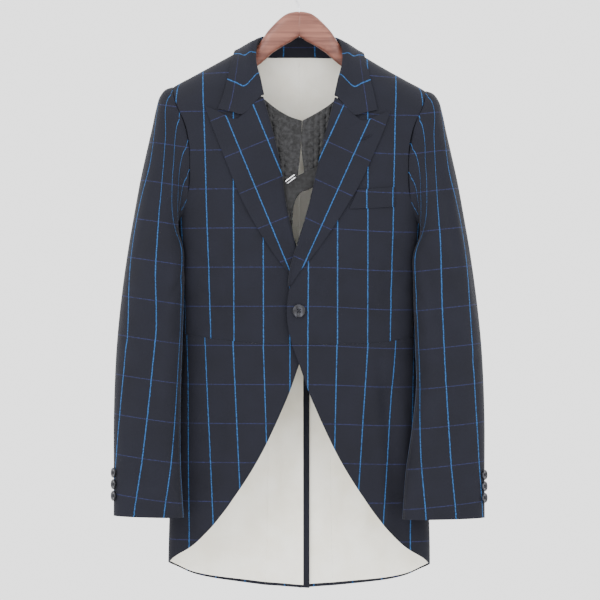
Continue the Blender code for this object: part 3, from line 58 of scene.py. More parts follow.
Piece: TypeAlias = bpy.types.Object
Value: TypeAlias = bpy.types.NodeSocket

MM = 0.001
SIDES = {"left": 1.0, "right": -1.0}

# Cloth walls and the clearances between them.
WOOL = 1.6
LAPEL_CLOTH = 1.5
LINING = 1.0
LEATHER = 2.0
LAYER_GAP = 0.4
SEAM_GAP = 0.4

# The body's section at each drop: half its width, and its reach to the front and the back.


class Ring(NamedTuple):
    """The body's section at one height."""

    drop: float
    half_width: float
    front: float
    back: float


BODY = (
    Ring(100.0, 208.0, 24.0, 38.0), Ring(160.0, 208.0, 37.0, 48.0), Ring(200.0, 208.0, 45.0, 52.0),
    Ring(260.0, 207.0, 54.0, 56.0), Ring(330.0, 202.0, 60.0, 58.0), Ring(400.0, 191.0, 61.0, 56.0),
    Ring(500.0, 183.0, 56.0, 49.0), Ring(570.0, 181.5, 52.0, 46.0), Ring(650.0, 186.0, 51.0, 46.0),
    Ring(740.0, 194.0, 49.0, 46.0), Ring(840.0, 201.0, 47.0, 45.0), Ring(920.0, 203.0, 45.0, 44.0),
    Ring(970.0, 203.0, 44.0, 43.0),
)
SQUARENESS = 2.6
GIRTH_RADIUS = 150.0
ANGLE_SCALE = (100.0, 1.0)
NORMAL_TURN = 0.012
NORMAL_STEP = 1.5

# The shoulder: its seam slopes from the neck point, and the cloth rounds over it.
NECK_POINT_X = 73.0
NECK_POINT_DROP = 115.4
SHOULDER_SLOPE = 0.547
SHOULDER_ROUND = 45.0
SHOULDER_SEAM_Y = 8.0
SHOULDER_SAG = 6.0
SAG_REACH = (15.0, 150.0)
SAG_FADE = (420.0, 850.0)
SAG_LOST = 0.5
RIDGE = 0.5

# The fronts lap over each other, and so do the tails at the vent.
FRONT_LAP = 3.4
LAP_REACH = (18.0, 62.0)
VENT_LAP = 4.2
VENT_TOP = 594.0
VENT_LAP_ABOVE = (90.0, 38.0)
VENT_LAP_REACH = (2.0, 34.0)
VENT_OPENS_BELOW_WAIST = 2.0
UNDERLAP = 16.0
VENT_FACING_WIDTH = 9.6
VENT_FACING_TOP = 606.0
VENT_FACING_BOTTOM = 963.0


class Spot(NamedTuple):
    """A place on the coat, own side outward."""

    x: float
    drop: float


ARMHOLE_FRONT = (
    Spot(196.0, 182.7), Spot(192.5, 203.0), Spot(176.5, 240.0), Spot(169.8, 268.0), Spot(169.0, 327.0),
    Spot(172.0, 358.0), Spot(182.0, 387.0),
)
ARMHOLE_BACK = (
    Spot(196.0, 182.7), Spot(186.0, 215.0), Spot(174.0, 255.0), Spot(166.0, 300.0), Spot(164.0, 322.0),
    Spot(168.0, 358.0), Spot(180.0, 387.0),
)
UNDERARM_DROP = 402.0
SIDE_SEAM_ANGLE = math.radians(76.0)
SIDE_SEAM_TOP = 391.0
SIDE_BACK_SEAM = (
    Spot(164.0, 322.0), Spot(132.0, 350.0), Spot(101.0, 389.0), Spot(74.0, 440.0), Spot(57.0, 500.0),
    Spot(49.0, 560.0),
)
TAIL_SEAM = (
    Spot(49.0, 560.0), Spot(48.5, 700.0), Spot(50.0, 850.0), Spot(53.0, 959.5),
)

# The neck: the seam that joins the collar, then the fold of the collar above it.
NECK_FRONT = (Spot(65.0, 200.0), Spot(71.5, 176.0), Spot(77.0, 147.0))
NECK_RIDGE = 79.0
NECK_BACK = (Spot(67.0, 130.0), Spot(47.0, 132.5), Spot(25.0, 133.0), Spot(0.0, 133.0))
PANEL_BELOW_NECK = 0.6


class Fold(NamedTuple):
    """A point of the collar's fold."""

    x: float
    y: float
    drop: float


COLLAR_FOLD = (
    Fold(55.5, -48.0, 198.5), Fold(60.3, -39.5, 175.0), Fold(67.6, -25.5, 145.0),
    Fold(67.8, -14.0, 127.0), Fold(66.5, -5.0, 116.0), Fold(63.0, 4.0, 109.0), Fold(57.0, 15.0, 105.0),
    Fold(45.0, 28.0, 103.2), Fold(24.0, 37.0, 103.0), Fold(0.0, 40.0, 103.0),
)
CHEST_DROP = 400.0
COLLAR_ROLL = 1.9
COLLAR_LIP = 3.0
COLLAR_LIFT = 3.0
STAND_DEPTH = 3.8
STAND_RIDGE_DEPTH = 2.6
COLLAR_BULGE = 1.5
COLLAR_RIDGE_EASE = 1.8
COLLAR_EASE_REACH = 16.0
COLLAR_FREE_SHARE = 0.18
COLLAR_FRONT_LIFT = 4.6
COLLAR_GORGE_SHARE = 0.62
COLLAR_EDGE_FRONT = (Spot(116.0, 198.0), Spot(110.2, 175.0), Spot(103.5, 150.0))
COLLAR_EDGE_RIDGE = 98.5
COLLAR_EDGE_BACK = (Spot(86.0, 142.0), Spot(60.0, 146.0), Spot(30.0, 147.5), Spot(0.0, 148.0))
COLLAR_FOLD_START = Spot(56.0, 200.5)
COLLAR_TIP = {"left": Spot(119.8, 216.4), "right": Spot(124.3, 220.2)}
GORGE_END = {"left": Spot(85.3, 227.3), "right": Spot(87.1, 229.5)}

# The lapels: roll line, notch, and outer edge.
ROLL = {
    "left": (
        Spot(54.0, 201.0), Spot(40.5, 254.0), Spot(28.8, 304.0), Spot(12.8, 373.0), Spot(-4.2, 430.0),
        Spot(-14.5, 464.0), Spot(-17.7, 492.0),
    ),
    "right": (
        Spot(54.6, 201.0), Spot(42.0, 246.0), Spot(29.5, 299.0), Spot(18.2, 373.0), Spot(4.2, 430.0),
        Spot(-6.0, 462.0), Spot(-14.5, 492.0),
    ),
}
NOTCH = {"left": Spot(93.2, 233.8), "right": Spot(94.2, 235.4)}
PEAK = {"left": Spot(139.7, 217.5), "right": Spot(144.5, 215.6)}
LAPEL_EDGE = {
    "left": (
        Spot(139.7, 217.5), Spot(129.7, 246.0), Spot(111.9, 288.2), Spot(94.2, 328.5), Spot(76.4, 360.5),
        Spot(50.0, 404.0), Spot(22.9, 442.7), Spot(1.2, 469.0), Spot(-10.5, 487.0),
    ),
    "right": (
        Spot(144.5, 215.6), Spot(130.8, 252.8), Spot(111.0, 302.4), Spot(91.3, 351.0), Spot(61.7, 407.0),
        Spot(38.3, 442.7), Spot(16.3, 472.0), Spot(-7.5, 490.0),
    ),
}
LAPEL_LIFT = 3.6
LAPEL_LIP = 3.0
LAPEL_PRESSED = (385.0, 435.0)
LAPEL_CROWN = 1.2
LAPEL_CROWN_REACH = 1.6
LAPEL_EDGE_FALL = 0.8
ROLL_CLEARANCE = 3.4

# The front edge below the lapel, the waist seam, and the cutaway edge down to the side.
FRONT_EDGE = (Spot(-17.7, 510.0), Spot(-17.7, 550.0), Spot(-12.6, 575.0), Spot(-11.0, 581.0))
WAIST_CENTRE_DROP = 581.5
WAIST_SIDE_DROP = 565.5
WAIST_SIDE_X = 176.0
WAIST_BACK_DROP = 560.0
CUTAWAY = (
    Spot(-11.0, 581.0), Spot(-3.4, 601.5), Spot(9.0, 638.7), Spot(32.2, 695.0), Spot(64.8, 761.0),
    Spot(105.0, 823.0), Spot(128.3, 854.0), Spot(157.8, 885.0), Spot(199.5, 915.0),
)
HEM = (
    Spot(199.5, 915.0), Spot(186.0, 930.0), Spot(165.0, 940.0), Spot(140.0, 946.5), Spot(100.0, 953.0),
    Spot(53.0, 959.5),
)
CENTRE_HEM_DROP = 964.0
HEM_TURN_UP = 5.0
CUTAWAY_TURN = 3.0
TURNING_REACH = 0.7

# The largest folds: troughs that run down the cloth.


class Trough(NamedTuple):
    """A fold that runs down the cloth."""

    side: str
    face: str
    top_x: float
    bottom_x: float
    top: float
    bottom: float
    width: float
    depth: float


TROUGHS = (
    Trough("left", "front", 136.0, 152.0, 610.0, 880.0, 15.0, 4.5),
    Trough("left", "front", 108.0, 118.0, 660.0, 860.0, 12.0, 1.5),
    Trough("right", "front", 150.0, 148.0, 200.0, 345.0, 9.0, 2.0),
    Trough("right", "back", 28.0, 18.0, 680.0, 940.0, 10.0, 2.0),
    Trough("left", "back", 110.0, 96.0, 640.0, 930.0, 16.0, 3.0),
    Trough("right", "back", 118.0, 108.0, 660.0, 930.0, 16.0, 3.0),
)
TROUGH_FADE = 45.0
TROUGH_FACING = 0.15

# Sleeves, from the head of the armhole to the cuff.


class Cuffward(NamedTuple):
    """A section of the sleeve."""

    outer_x: float
    outer_drop: float
    inner_left: float
    inner_right: float
    inner_drop: float
    half_depth: float
    y: float


SLEEVE = (
    Cuffward(196.0, 182.7, 193.0, 193.0, 402.0, 46.0, 0.0),
    Cuffward(208.0, 188.0, 196.0, 196.0, 403.5, 47.0, 0.0),
    Cuffward(216.5, 198.5, 195.0, 195.0, 406.0, 48.0, -1.0),
    Cuffward(221.5, 216.0, 191.0, 191.0, 409.5, 49.0, -2.0),
    Cuffward(227.5, 245.0, 187.0, 187.0, 413.5, 50.0, -3.0),
    Cuffward(235.5, 281.0, 183.0, 183.0, 418.0, 51.0, -4.0),
    Cuffward(245.5, 327.0, 177.0, 178.0, 424.0, 52.0, -5.0),
    Cuffward(254.0, 374.0, 172.0, 174.0, 432.0, 53.0, -6.5),
    Cuffward(262.0, 420.0, 169.0, 172.0, 446.0, 53.0, -8.5),
    Cuffward(269.0, 467.0, 171.0, 173.5, 476.0, 52.0, -12.0),
    Cuffward(275.0, 516.0, 174.5, 176.5, 518.0, 50.0, -17.0),
    Cuffward(280.5, 576.0, 178.0, 179.5, 577.0, 47.0, -24.0),
    Cuffward(283.5, 640.0, 179.5, 181.5, 641.0, 43.0, -33.0),
    Cuffward(284.5, 704.0, 173.0, 182.0, 705.0, 38.0, -42.0),
    Cuffward(283.8, 772.0, 163.0, 180.5, 773.0, 33.0, -51.0),
    Cuffward(283.5, 842.0, 157.5, 176.0, 845.0, 29.0, -58.0),
)
SLEEVE_SQUARENESS = 2.3
ARMHOLE_BLEND = 150.0
ARMHOLE_BLEND_POWER = 1.5
ARMHOLE_GAP = 0.4
BODY_CLEARANCE = 3.6
CLEARANCE_DROPS = (388.0, 402.0)
CORE_SHARE = 0.55
FARTHEST_MOVE = 6.0
HALVINGS = 30
DEEPEST_INSIDE = 0.2
SLEEVE_SAMPLES = 96
ELBOW_SEAM = (math.radians(-62.0), math.radians(-9.0))
FOREARM_SEAM = (math.radians(138.0), math.radians(166.0))


class SleeveTrough(NamedTuple):
    """A fold that runs down a sleeve."""

    side: str
    top_angle: float
    bottom_angle: float
    top: float
    bottom: float
    width: float
    depth: float


SLEEVE_TROUGHS = (
    SleeveTrough("left", 72.0, 64.0, 200.0, 470.0, 13.0, 4.0),
    SleeveTrough("left", 118.0, 96.0, 420.0, 700.0, 13.0, 3.5),
    SleeveTrough("right", 52.0, 86.0, 190.0, 330.0, 12.0, 3.5),
    SleeveTrough("right", 112.0, 98.0, 430.0, 690.0, 14.0, 3.0),
    SleeveTrough("left", -78.0, -64.0, 330.0, 660.0, 15.0, 3.5),
    SleeveTrough("right", -78.0, -64.0, 330.0, 660.0, 15.0, 3.5),
)

# The breast welt, on the left front.
WELT_TOP = (Spot(89.5, 340.5), Spot(146.6, 334.0))
WELT_BOTTOM = (Spot(76.5, 371.5), Spot(146.6, 364.5))

# The leather chest harness behind the lapels.
HARNESS_LIFT = -13.0
HARNESS_TOP = {
    "left": (Spot(4.8, 235.5), Spot(29.1, 222.0), Spot(50.5, 206.5), Spot(76.0, 183.0)),
    "right": (Spot(-4.3, 235.5), Spot(20.5, 226.4), Spot(40.1, 213.0), Spot(75.0, 183.0)),
}
HARNESS_CENTRE = {
    "left": (Spot(4.8, 235.5), Spot(3.3, 278.0), Spot(7.9, 316.0), Spot(9.0, 326.0)),
    "right": (
        Spot(-4.3, 235.5), Spot(-2.5, 278.0), Spot(1.4, 316.0), Spot(9.0, 373.0), Spot(10.5, 400.0),
        Spot(7.0, 425.0),
    ),
}
HARNESS_OUTER = {
    "left": (Spot(76.0, 183.0), Spot(66.0, 250.0), Spot(58.0, 330.0)),
    "right": (Spot(75.0, 183.0), Spot(62.0, 250.0), Spot(48.0, 320.0), Spot(30.0, 430.0)),
}
STRAP_TOP = (
    Spot(50.0, 295.0), Spot(24.8, 309.0), Spot(4.3, 319.0), Spot(-23.0, 334.0), Spot(-36.0, 341.0),
)
STRAP_BOTTOM = (
    Spot(50.0, 326.0), Spot(18.6, 342.0), Spot(-0.9, 351.0), Spot(-11.0, 372.0), Spot(-33.0, 381.0),
)
BUCKLE_CENTRE = Spot(-12.9, 328.4)
BUCKLE_LENGTH = 18.0
BUCKLE_WIDTH = 10.0
BUCKLE_CORNER = 2.5
BUCKLE_SLANT = math.radians(36.5)
BUCKLE_TILT = math.radians(68.0)
BUCKLE_LIFT = -4.2
BUCKLE_WIRE = 2.2

# Buttons.
FRONT_BUTTON = Spot(-0.3, 529.3)
FRONT_BUTTON_DIAMETER = 20.0
FRONT_BUTTON_THICKNESS = 3.4
CUFF_BUTTON_DROPS = (776.5, 794.0, 811.5)
CUFF_BUTTON_DIAMETER = 15.5
CUFF_BUTTON_THICKNESS = 3.0
CUFF_BUTTON_STANDOFF = 0.9
CUFF_BUTTON_ANGLE = math.radians(19.0)

# The hanger: a wooden arch and a wire hook.


class Arm(NamedTuple):
    """A section of the hanger."""

    x: float
    top: float
    bottom: float
    half_thickness: float
    y: float


HANGER = (
    Arm(0.0, 66.0, 106.0, 8.5, 0.0), Arm(11.0, 67.0, 112.0, 8.5, 0.0), Arm(21.0, 70.5, 117.5, 8.5, 0.0),
    Arm(30.0, 78.0, 122.3, 8.5, 0.0), Arm(38.0, 87.5, 126.5, 8.5, 0.0), Arm(46.0, 98.5, 130.7, 8.5, 0.0),
    Arm(55.0, 114.5, 137.5, 8.0, 2.5), Arm(68.0, 129.0, 148.0, 8.0, 5.5),
    Arm(90.0, 141.0, 160.5, 9.0, 7.0), Arm(120.0, 155.0, 175.0, 10.0, 7.0),
    Arm(150.0, 171.5, 192.0, 10.5, 6.0), Arm(168.0, 182.5, 201.5, 9.5, 5.0),
    Arm(177.0, 190.0, 204.0, 7.5, 5.0),
)
HANGER_SQUARENESS = 2.4
HANGER_LEAN = 6.0
HANGER_LEAN_REACH = (20.0, 60.0)
HOOK_WIRE = 3.4
HOOK_RADIUS = 20.0
HOOK_START_ANGLE = math.radians(215.0)
HOOK_TIP_ANGLE = math.radians(-38.0)
HOOK_NECK = (-4.5, -49.0)
HOOK_LEAVES_STEM = 58.0

# How finely each piece is divided.
FRONT_COLUMNS = 9
SIDE_COLUMNS = 7
ARMHOLE_ROWS = 7
SIDE_ROWS = 7
SKIRT_ROWS = 11
BACK_ARMHOLE_ROWS = 5
TAIL_ROWS = 11
SHOULDER_COLUMNS = 4
NECK_COLUMNS = 5
SHOULDER_BUNCH = 1.5
LAPEL_ROWS = 12
LAPEL_COLUMNS = 6
COLLAR_COLUMNS = 13
LEAF_ROWS = 5
TOP_SLEEVE_COLUMNS = 11
UNDER_SLEEVE_COLUMNS = 8


def ease(value: Array, low: float, high: float) -> Array:
    """A smooth step from 0 at low to 1 at high."""
    share = np.clip((np.asarray(value, float) - low) / (high - low), 0.0, 1.0)
    return share * share * (3.0 - 2.0 * share)


def cubic(share: Array, width: Array, values: Array, slope: Array, cell: Array) -> Array:
    """The cubic across each cell that has the values and the slopes of both its ends.

    Args:
        share: How far across its cell each place lies.
        width: Each cell's width.
        values: Values at the cells' ends.
        slope: Slopes at the cells' ends.
        cell: Each place's cell.

    Returns:
        The cubic's values.
    """
    square = share * share
    cube = square * share
    return (
        (2.0 * cube - 3.0 * square + 1.0) * values[cell]
        + (cube - 2.0 * square + share) * width * slope[cell]
        + (3.0 * square - 2.0 * cube) * values[cell + 1]
        + (cube - square) * width * slope[cell + 1]
    )


def hermite(x: Array, y: Array, tangent: Array, at: Array) -> Array:
    """A cubic through (x, y) with the given slopes, read at the values of at.

    Args:
        x: Rising places.
        y: Values at x.
        tangent: Slopes at x.
        at: Where to read.

    Returns:
        The cubic's values.
    """
    at = np.clip(at, x[0], x[-1])
    cell = np.clip(np.searchsorted(x, at, side="right") - 1, 0, len(x) - 2)
    width = x[cell + 1] - x[cell]
    return cubic((at - x[cell]) / width, width, y, tangent, cell)


def unit(vectors: Array) -> Array:
    """Vectors over their own lengths."""
    return vectors / np.maximum(np.linalg.norm(vectors, axis=-1, keepdims=True), 1e-9)


def run_along(points: Array) -> Array:
    """The length along a path at each of its points."""
    return np.concatenate([[0.0], np.cumsum(np.linalg.norm(np.diff(points, axis=0), axis=1))])


def rounded_square(turn: Array, squareness: float) -> tuple[Array, Array]:
    """The cosine and sine of a rounded square: both raised to 2 over its squareness, signs kept.

    Args:
        turn: Angles round it.
        squareness: 2 for an ellipse, more for a squarer section.

    Returns:
        The cosine and the sine.
    """
    power = 2.0 / squareness
    cosine = np.sign(np.cos(turn)) * np.abs(np.cos(turn)) ** power
    return cosine, np.sign(np.sin(turn)) * np.abs(np.sin(turn)) ** power


def fold_length(top: float, bottom: float, drop: Array) -> Array:
    """1 along a fold, fading to 0 at both its ends."""
    rise = ease(drop, top, top + TROUGH_FADE)
    return rise * (1.0 - ease(drop, bottom - TROUGH_FADE, bottom + TROUGH_FADE))


def crease_length(run: Array) -> Array:
    """1 along a crease, whose run goes from 0 to 1, fading to 0 at both its ends."""
    return ease(run, -CREASE_FADE, CREASE_FADE) * (1.0 - ease(run, 1.0 - CREASE_FADE, 1.0 + CREASE_FADE))


def read(table: Table, key: str, column: str, at: Array) -> Array:
    """A column of a table as a monotone cubic of its key column.

    Args:
        table: Rows with named columns.
        key: The column that is looked up.
        column: The column that is read.
        at: Where to read.

    Returns:
        The column's values.
    """
    x = np.array([getattr(row, key) for row in table], float)
    y = np.array([getattr(row, column) for row in table], float)
    order = np.argsort(x)
    x = x[order]
    y = y[order]
    slope = np.diff(y) / np.diff(x)
    before = slope[:-1]
    after = slope[1:]
    tangent = np.concatenate([slope[:1], np.zeros(len(y) - 2), slope[-1:]])
    same_way = before * after > 0.0
    total = np.where(same_way, before + after, 1.0)
    tangent[1:-1] = np.where(same_way, 2.0 * before * after / total, 0.0)
    return hermite(x, y, tangent, np.asarray(at, float))


def along(points: Array, count: int, straight: bool = False, spread: Array | None = None) -> Array:
    """count + 1 points along a curve through the given points, even or at given shares of it.

    Args:
        points: The points.
        count: How many steps to take.
        straight: Whether the path keeps its corners.
        spread: Shares of the length, where they aren't even.

    Returns:
        The points.
    """
    points = np.asarray(points, float)
    chord = run_along(points)
    fine = np.linspace(0.0, chord[-1], 40 * len(points))
    columns = points.T
    if straight or len(points) < 3:
        curve = np.stack([np.interp(fine, chord, column) for column in columns], axis=1)
    else:
        slopes = np.gradient(points, chord, axis=0).T
        pairs = zip(columns, slopes)
        curve = np.stack([hermite(chord, column, slope, fine) for column, slope in pairs], axis=1)
    run = run_along(curve)
    wanted = run[-1] * (np.linspace(0.0, 1.0, count + 1) if spread is None else spread)
    return np.stack([np.interp(wanted, run, column) for column in curve.T], axis=1)


def joined(*paths: Array) -> Array:
    """Paths that meet end to end, as one."""
    return np.vstack([paths[0]] + [path[1:] for path in paths[1:]])


def run_shares(edge: Array) -> Array:
    """How far along an edge each of its points lies, from 0 to 1."""
    run = run_along(edge)
    return run / run[-1]


def shares(first: Array, second: Array) -> Array:
    """How far along each point of two facing edges lies, from 0 to 1."""
    return (run_shares(first) + run_shares(second)) / 2.0


def patch(start: Array, end: Array, top: Array, bottom: Array) -> Array:
    """A Coons surface: start and end are its sides, read downward, and top and bottom run across.

    Args:
        start: The starting side, read downward.
        end: The far side, read downward.
        top: The upper edge, read across.
        bottom: The lower edge, read across.

    Returns:
        The points.
    """
    v = shares(start, end)[:, None, None]
    u = shares(top, bottom)[None, :, None]
    ruled_down = (1.0 - v) * top[None] + v * bottom[None]
    ruled_across = (1.0 - u) * start[:, None] + u * end[:, None]
    corners = (
        (1.0 - v) * (1.0 - u) * top[0]
        + (1.0 - v) * u * top[-1]
        + v * (1.0 - u) * bottom[0]
        + v * u * bottom[-1]
    )
    return ruled_down + ruled_across - corners


def body_patch(start: Array, end: Array, top: Array, bottom: Array) -> Array:
    """A Coons surface between edges of (angle, drop) pairs."""
    scale = np.array([GIRTH_RADIUS, 1.0])
    return patch(*(edge * scale for edge in (start, end, top, bottom))) / scale


def shoulder_drop(x: Array) -> Array:
    """The drop of the shoulder seam's line at x."""
    return NECK_POINT_DROP + (np.abs(x) - NECK_POINT_X) * SHOULDER_SLOPE


def body_base(angle: Array, drop: Array) -> Array:
    """The bare outer face of the body: angle 0 is the centre front, and pi the centre back.

    Args:
        angle: Angles round it.
        drop: Drops.

    Returns:
        The points.
    """
    half_width = read(BODY, "drop", "half_width", drop)
    sine = np.sin(angle)
    x = half_width * sine
    round_off = (1.0 - np.abs(sine) ** SQUARENESS) ** (1.0 / SQUARENESS)
    front = -read(BODY, "drop", "front", drop)
    back = read(BODY, "drop", "back", drop)
    reach = np.where(np.cos(angle) > 0.0, front, back) * round_off
    below = np.clip((drop - shoulder_drop(x)) / SHOULDER_ROUND, 0.0, 1.0)
    arch = np.sqrt(1.0 - (1.0 - below) ** 2)
    y = SHOULDER_SEAM_Y + (reach - SHOULDER_SEAM_Y) * arch
    return np.stack([x, y, -np.asarray(drop, float) + np.zeros_like(x)], axis=-1)


def body(angle: Array, drop: Array, lift: Array = 0.0) -> Array:
    """The body's face, moved out along its normal by lift.

    Args:
        angle: Angles round it.
        drop: Drops.
        lift: How far the face is moved out.

    Returns:
        The points.
    """
    angle, drop, lift = np.broadcast_arrays(angle, drop, lift)
    across = body_base(angle + NORMAL_TURN, drop) - body_base(angle - NORMAL_TURN, drop)
    down = body_base(angle, drop + NORMAL_STEP) - body_base(angle, drop - NORMAL_STEP)
    normal = unit(np.cross(down, across))
    base = body_base(angle, drop)
    on_ridge = drop - shoulder_drop(base[..., 0]) < RIDGE
    ridge_up = np.array([SHOULDER_SLOPE, 0.0, 1.0]) / math.hypot(SHOULDER_SLOPE, 1.0)
    normal = np.where(on_ridge[..., None], ridge_up, normal)
    return base + normal * lift[..., None]


def angle_at(x: Array, drop: Array, back: bool = False) -> Array:
    """The angle round the body of a point at x.

    Args:
        x: Distances outward.
        drop: Drops.
        back: Whether the back half is meant.

    Returns:
        The angles, in radians.
    """
    half_width = read(BODY, "drop", "half_width", drop)
    angle = np.arcsin(np.clip(np.asarray(x, float) / half_width, -1.0, 1.0))
    return math.pi - angle if back else angle


def on_body(spots: Array, back: bool = False) -> Array:
    """Spots as (angle, drop) pairs."""
    spots = np.asarray(spots, float)
    return np.stack([angle_at(spots[:, 0], spots[:, 1], back), spots[:, 1]], axis=1)


def trough_lift(side: str, x: Array, drop: Array, angle: Array) -> Array:
    """How far the largest folds sink the cloth, below 0.

    Args:
        side: Left or right.
        x: Distances outward.
        drop: Drops.
        angle: Angles round it.

    Returns:
        A lift of 0 or less for each point.
    """
    lift = np.zeros_like(x)
    for trough in TROUGHS:
        if trough.side != side:
            continue
        share = np.clip((drop - trough.top) / (trough.bottom - trough.top), 0.0, 1.0)
        middle = trough.top_x + (trough.bottom_x - trough.top_x) * share
        facing = np.cos(angle) if trough.face == "front" else -np.cos(angle)
        length = fold_length(trough.top, trough.bottom, drop)
        across = np.exp(-(((x - middle) / trough.width) ** 2))
        lift -= trough.depth * across * length * ease(facing, 0.0, TROUGH_FACING)
    return lift


def lap_lift(side: str, x: Array, drop: Array, angle: Array) -> Array:
    """How far a front or a tail stands out or in where the two sides lap.

    Args:
        side: Left or right.
        x: Distances outward.
        drop: Drops.
        angle: Angles round it.

    Returns:
        A lift for each point.
    """
    front = np.cos(angle) > 0.0
    near = 1.0 - ease(x, *LAP_REACH)
    lift = np.where(front, FRONT_LAP * SIDES[side] * near, 0.0)
    if side == "right":
        in_tail = ease(drop, *(VENT_TOP - above for above in VENT_LAP_ABOVE))
        lift = np.where(front, lift, -VENT_LAP * (1.0 - ease(x, *VENT_LAP_REACH)) * in_tail)
    return lift


class Crease(NamedTuple):
    """A soft fold drawn on the body: ridges have a depth below 0."""

    side: str
    face: str
    x0: float
    drop0: float
    x1: float
    drop1: float
    width: float
    depth: float


CREASES = (
    Crease("left", "front", 150.0, 205.0, 146.0, 330.0, 9.0, 1.6),
    Crease("left", "front", 60.0, 432.0, 18.0, 520.0, 7.0, 1.0),
    Crease("left", "front", 78.0, 470.0, 14.0, 536.0, 8.0, 0.9),
    Crease("left", "front", 114.0, 415.0, 114.0, 566.0, 1.8, 0.7),
    Crease("left", "front", 150.0, 420.0, 132.0, 470.0, 8.0, 1.1),
    Crease("left", "front", 158.0, 470.0, 128.0, 520.0, 9.0, 1.2),
    Crease("left", "front", 90.0, 596.0, 74.0, 730.0, 13.0, 1.3),
    Crease("left", "front", 126.0, 592.0, 132.0, 700.0, 8.0, 1.6),
    Crease("left", "front", 172.0, 620.0, 182.0, 860.0, 10.0, 1.7),
    Crease("right", "front", 111.0, 433.0, 111.0, 572.0, 1.8, 0.7),
    Crease("right", "front", 128.0, 250.0, 134.0, 330.0, 10.0, 1.1),
    Crease("right", "front", 70.0, 440.0, 20.0, 520.0, 8.0, 1.0),
    Crease("right", "front", 162.0, 440.0, 130.0, 480.0, 8.0, 1.1),
    Crease("right", "front", 150.0, 500.0, 118.0, 530.0, 8.0, 0.9),
    Crease("right", "front", 60.0, 610.0, 72.0, 760.0, 12.0, 1.2),
    Crease("right", "front", 118.0, 600.0, 122.0, 850.0, 13.0, 1.5),
    Crease("right", "front", 168.0, 600.0, 176.0, 880.0, 12.0, 1.9),
    Crease("left", "back", 120.0, 190.0, 132.0, 330.0, 14.0, 1.6),
    Crease("right", "back", 118.0, 196.0, 136.0, 320.0, 14.0, 1.8),
    Crease("left", "back", 60.0, 168.0, 90.0, 200.0, 16.0, 1.0),
    Crease("right", "back", 52.0, 166.0, 84.0, 205.0, 15.0, 1.2),
    Crease("left", "back", 18.0, 470.0, 74.0, 520.0, 9.0, 1.0),
    Crease("right", "back", 14.0, 500.0, 66.0, 545.0, 9.0, 1.1),
    Crease("left", "back", 30.0, 640.0, 34.0, 900.0, 10.0, 1.4),
    Crease("left", "back", 140.0, 600.0, 150.0, 900.0, 12.0, 1.7),
    Crease("right", "back", 150.0, 620.0, 142.0, 880.0, 12.0, 1.5),
)
CREASE_FADE = 0.22
CREASE_STRENGTH = 1.5
CREASE_WANDER = 0.25
SWELL_HEIGHT = 0.5
SWELL_ACROSS = (23.0, 90.0)
SWELL_DOWN = (61.0, 47.0)
SWELL_DROPS = (180.0, 300.0)


def crease_lift(side: str, x: Array, drop: Array, angle: Array) -> Array:
    """How far the drawn creases move the cloth: a bell across each line, swelling along it.

    Args:
        side: Left or right.
        x: Distances outward.
        drop: Drops.
        angle: Angles round it.

    Returns:
        A lift for each point.
    """
    lift = SWELL_HEIGHT * np.sin(x / SWELL_ACROSS[0] + drop / SWELL_DOWN[0] + 2.0 * SIDES[side])
    lift = lift * np.sin(drop / SWELL_DOWN[1] - x / SWELL_ACROSS[1]) * ease(drop, *SWELL_DROPS)
    for number, crease in enumerate(CREASES):
        if crease.side != side:
            continue
        line = np.array([crease.x1 - crease.x0, crease.drop1 - crease.drop0])
        length = np.hypot(*line)
        line /= length
        run = ((x - crease.x0) * line[0] + (drop - crease.drop0) * line[1]) / length
        wander = CREASE_WANDER * crease.width * np.sin(5.0 * run + number)
        away = (x - crease.x0) * line[1] - (drop - crease.drop0) * line[0] + wander
        share = crease_length(run)
        swell = 0.75 + 0.25 * np.sin(7.0 * run + 2.0 * number)
        facing = np.cos(angle) if crease.face == "front" else -np.cos(angle)
        bell = np.exp(-((away / crease.width) ** 2))
        lift -= CREASE_STRENGTH * crease.depth * bell * share * swell * ease(facing, 0.0, TROUGH_FACING)
    return lift


def cloth(side: str, grid: Array, lift: Array) -> Array:
    """Points of a side's cloth: the body's face with its folds and laps, moved out by lift.

    Args:
        side: Left or right.
        grid: A grid of angle and drop pairs.
        lift: How far the face is moved out.

    Returns:
        The points.
    """
    angle = grid[..., 0]
    drop = grid[..., 1]
    x = body_base(angle, drop)[..., 0]
    for moved in (trough_lift, lap_lift, crease_lift):
        lift = lift + moved(side, x, drop, angle)
    return body(angle, drop, lift)


def settle(points: Array) -> Array:
    """Lowers the wearer's left shoulder a little, as the coat hangs.

    Args:
        points: The points.

    Returns:
        The points.
    """
    points = points.copy()
    x = points[..., 0]
    fade = 1.0 - SAG_LOST * ease(-points[..., 2], *SAG_FADE)
    points[..., 2] -= SHOULDER_SAG * ease(x, *SAG_REACH) * fade
    return points


def keep_off(points: Array, margin: float) -> Array:
    """Moves points that lie within margin of the upper body's face straight out of it.

    Args:
        points: The points.
        margin: The least distance kept.

    Returns:
        The points.
    """
    x = points[..., 0]
    drop = -points[..., 2]
    y = points[..., 1] - SHOULDER_SEAM_Y
    angle = angle_at(x, drop)
    round_off = (1.0 - np.abs(np.sin(angle)) ** SQUARENESS) ** (1.0 / SQUARENESS)
    front = read(BODY, "drop", "front", drop) * round_off + SHOULDER_SEAM_Y
    back = read(BODY, "drop", "back", drop) * round_off - SHOULDER_SEAM_Y
    reach = np.where(y < 0.0, front, back) + margin
    rise = np.clip(SHOULDER_ROUND - (drop - shoulder_drop(x)), 0.0, None)
    inside = np.sqrt((rise / (SHOULDER_ROUND + margin)) ** 2 + (y / reach) ** 2)
    push = np.where(inside < 1.0, 1.0 / np.maximum(inside, DEEPEST_INSIDE), 1.0)
    moved = points.copy()
    moved[..., 1] = y * push + SHOULDER_SEAM_Y
    moved[..., 2] += rise * (push - 1.0)
    return moved


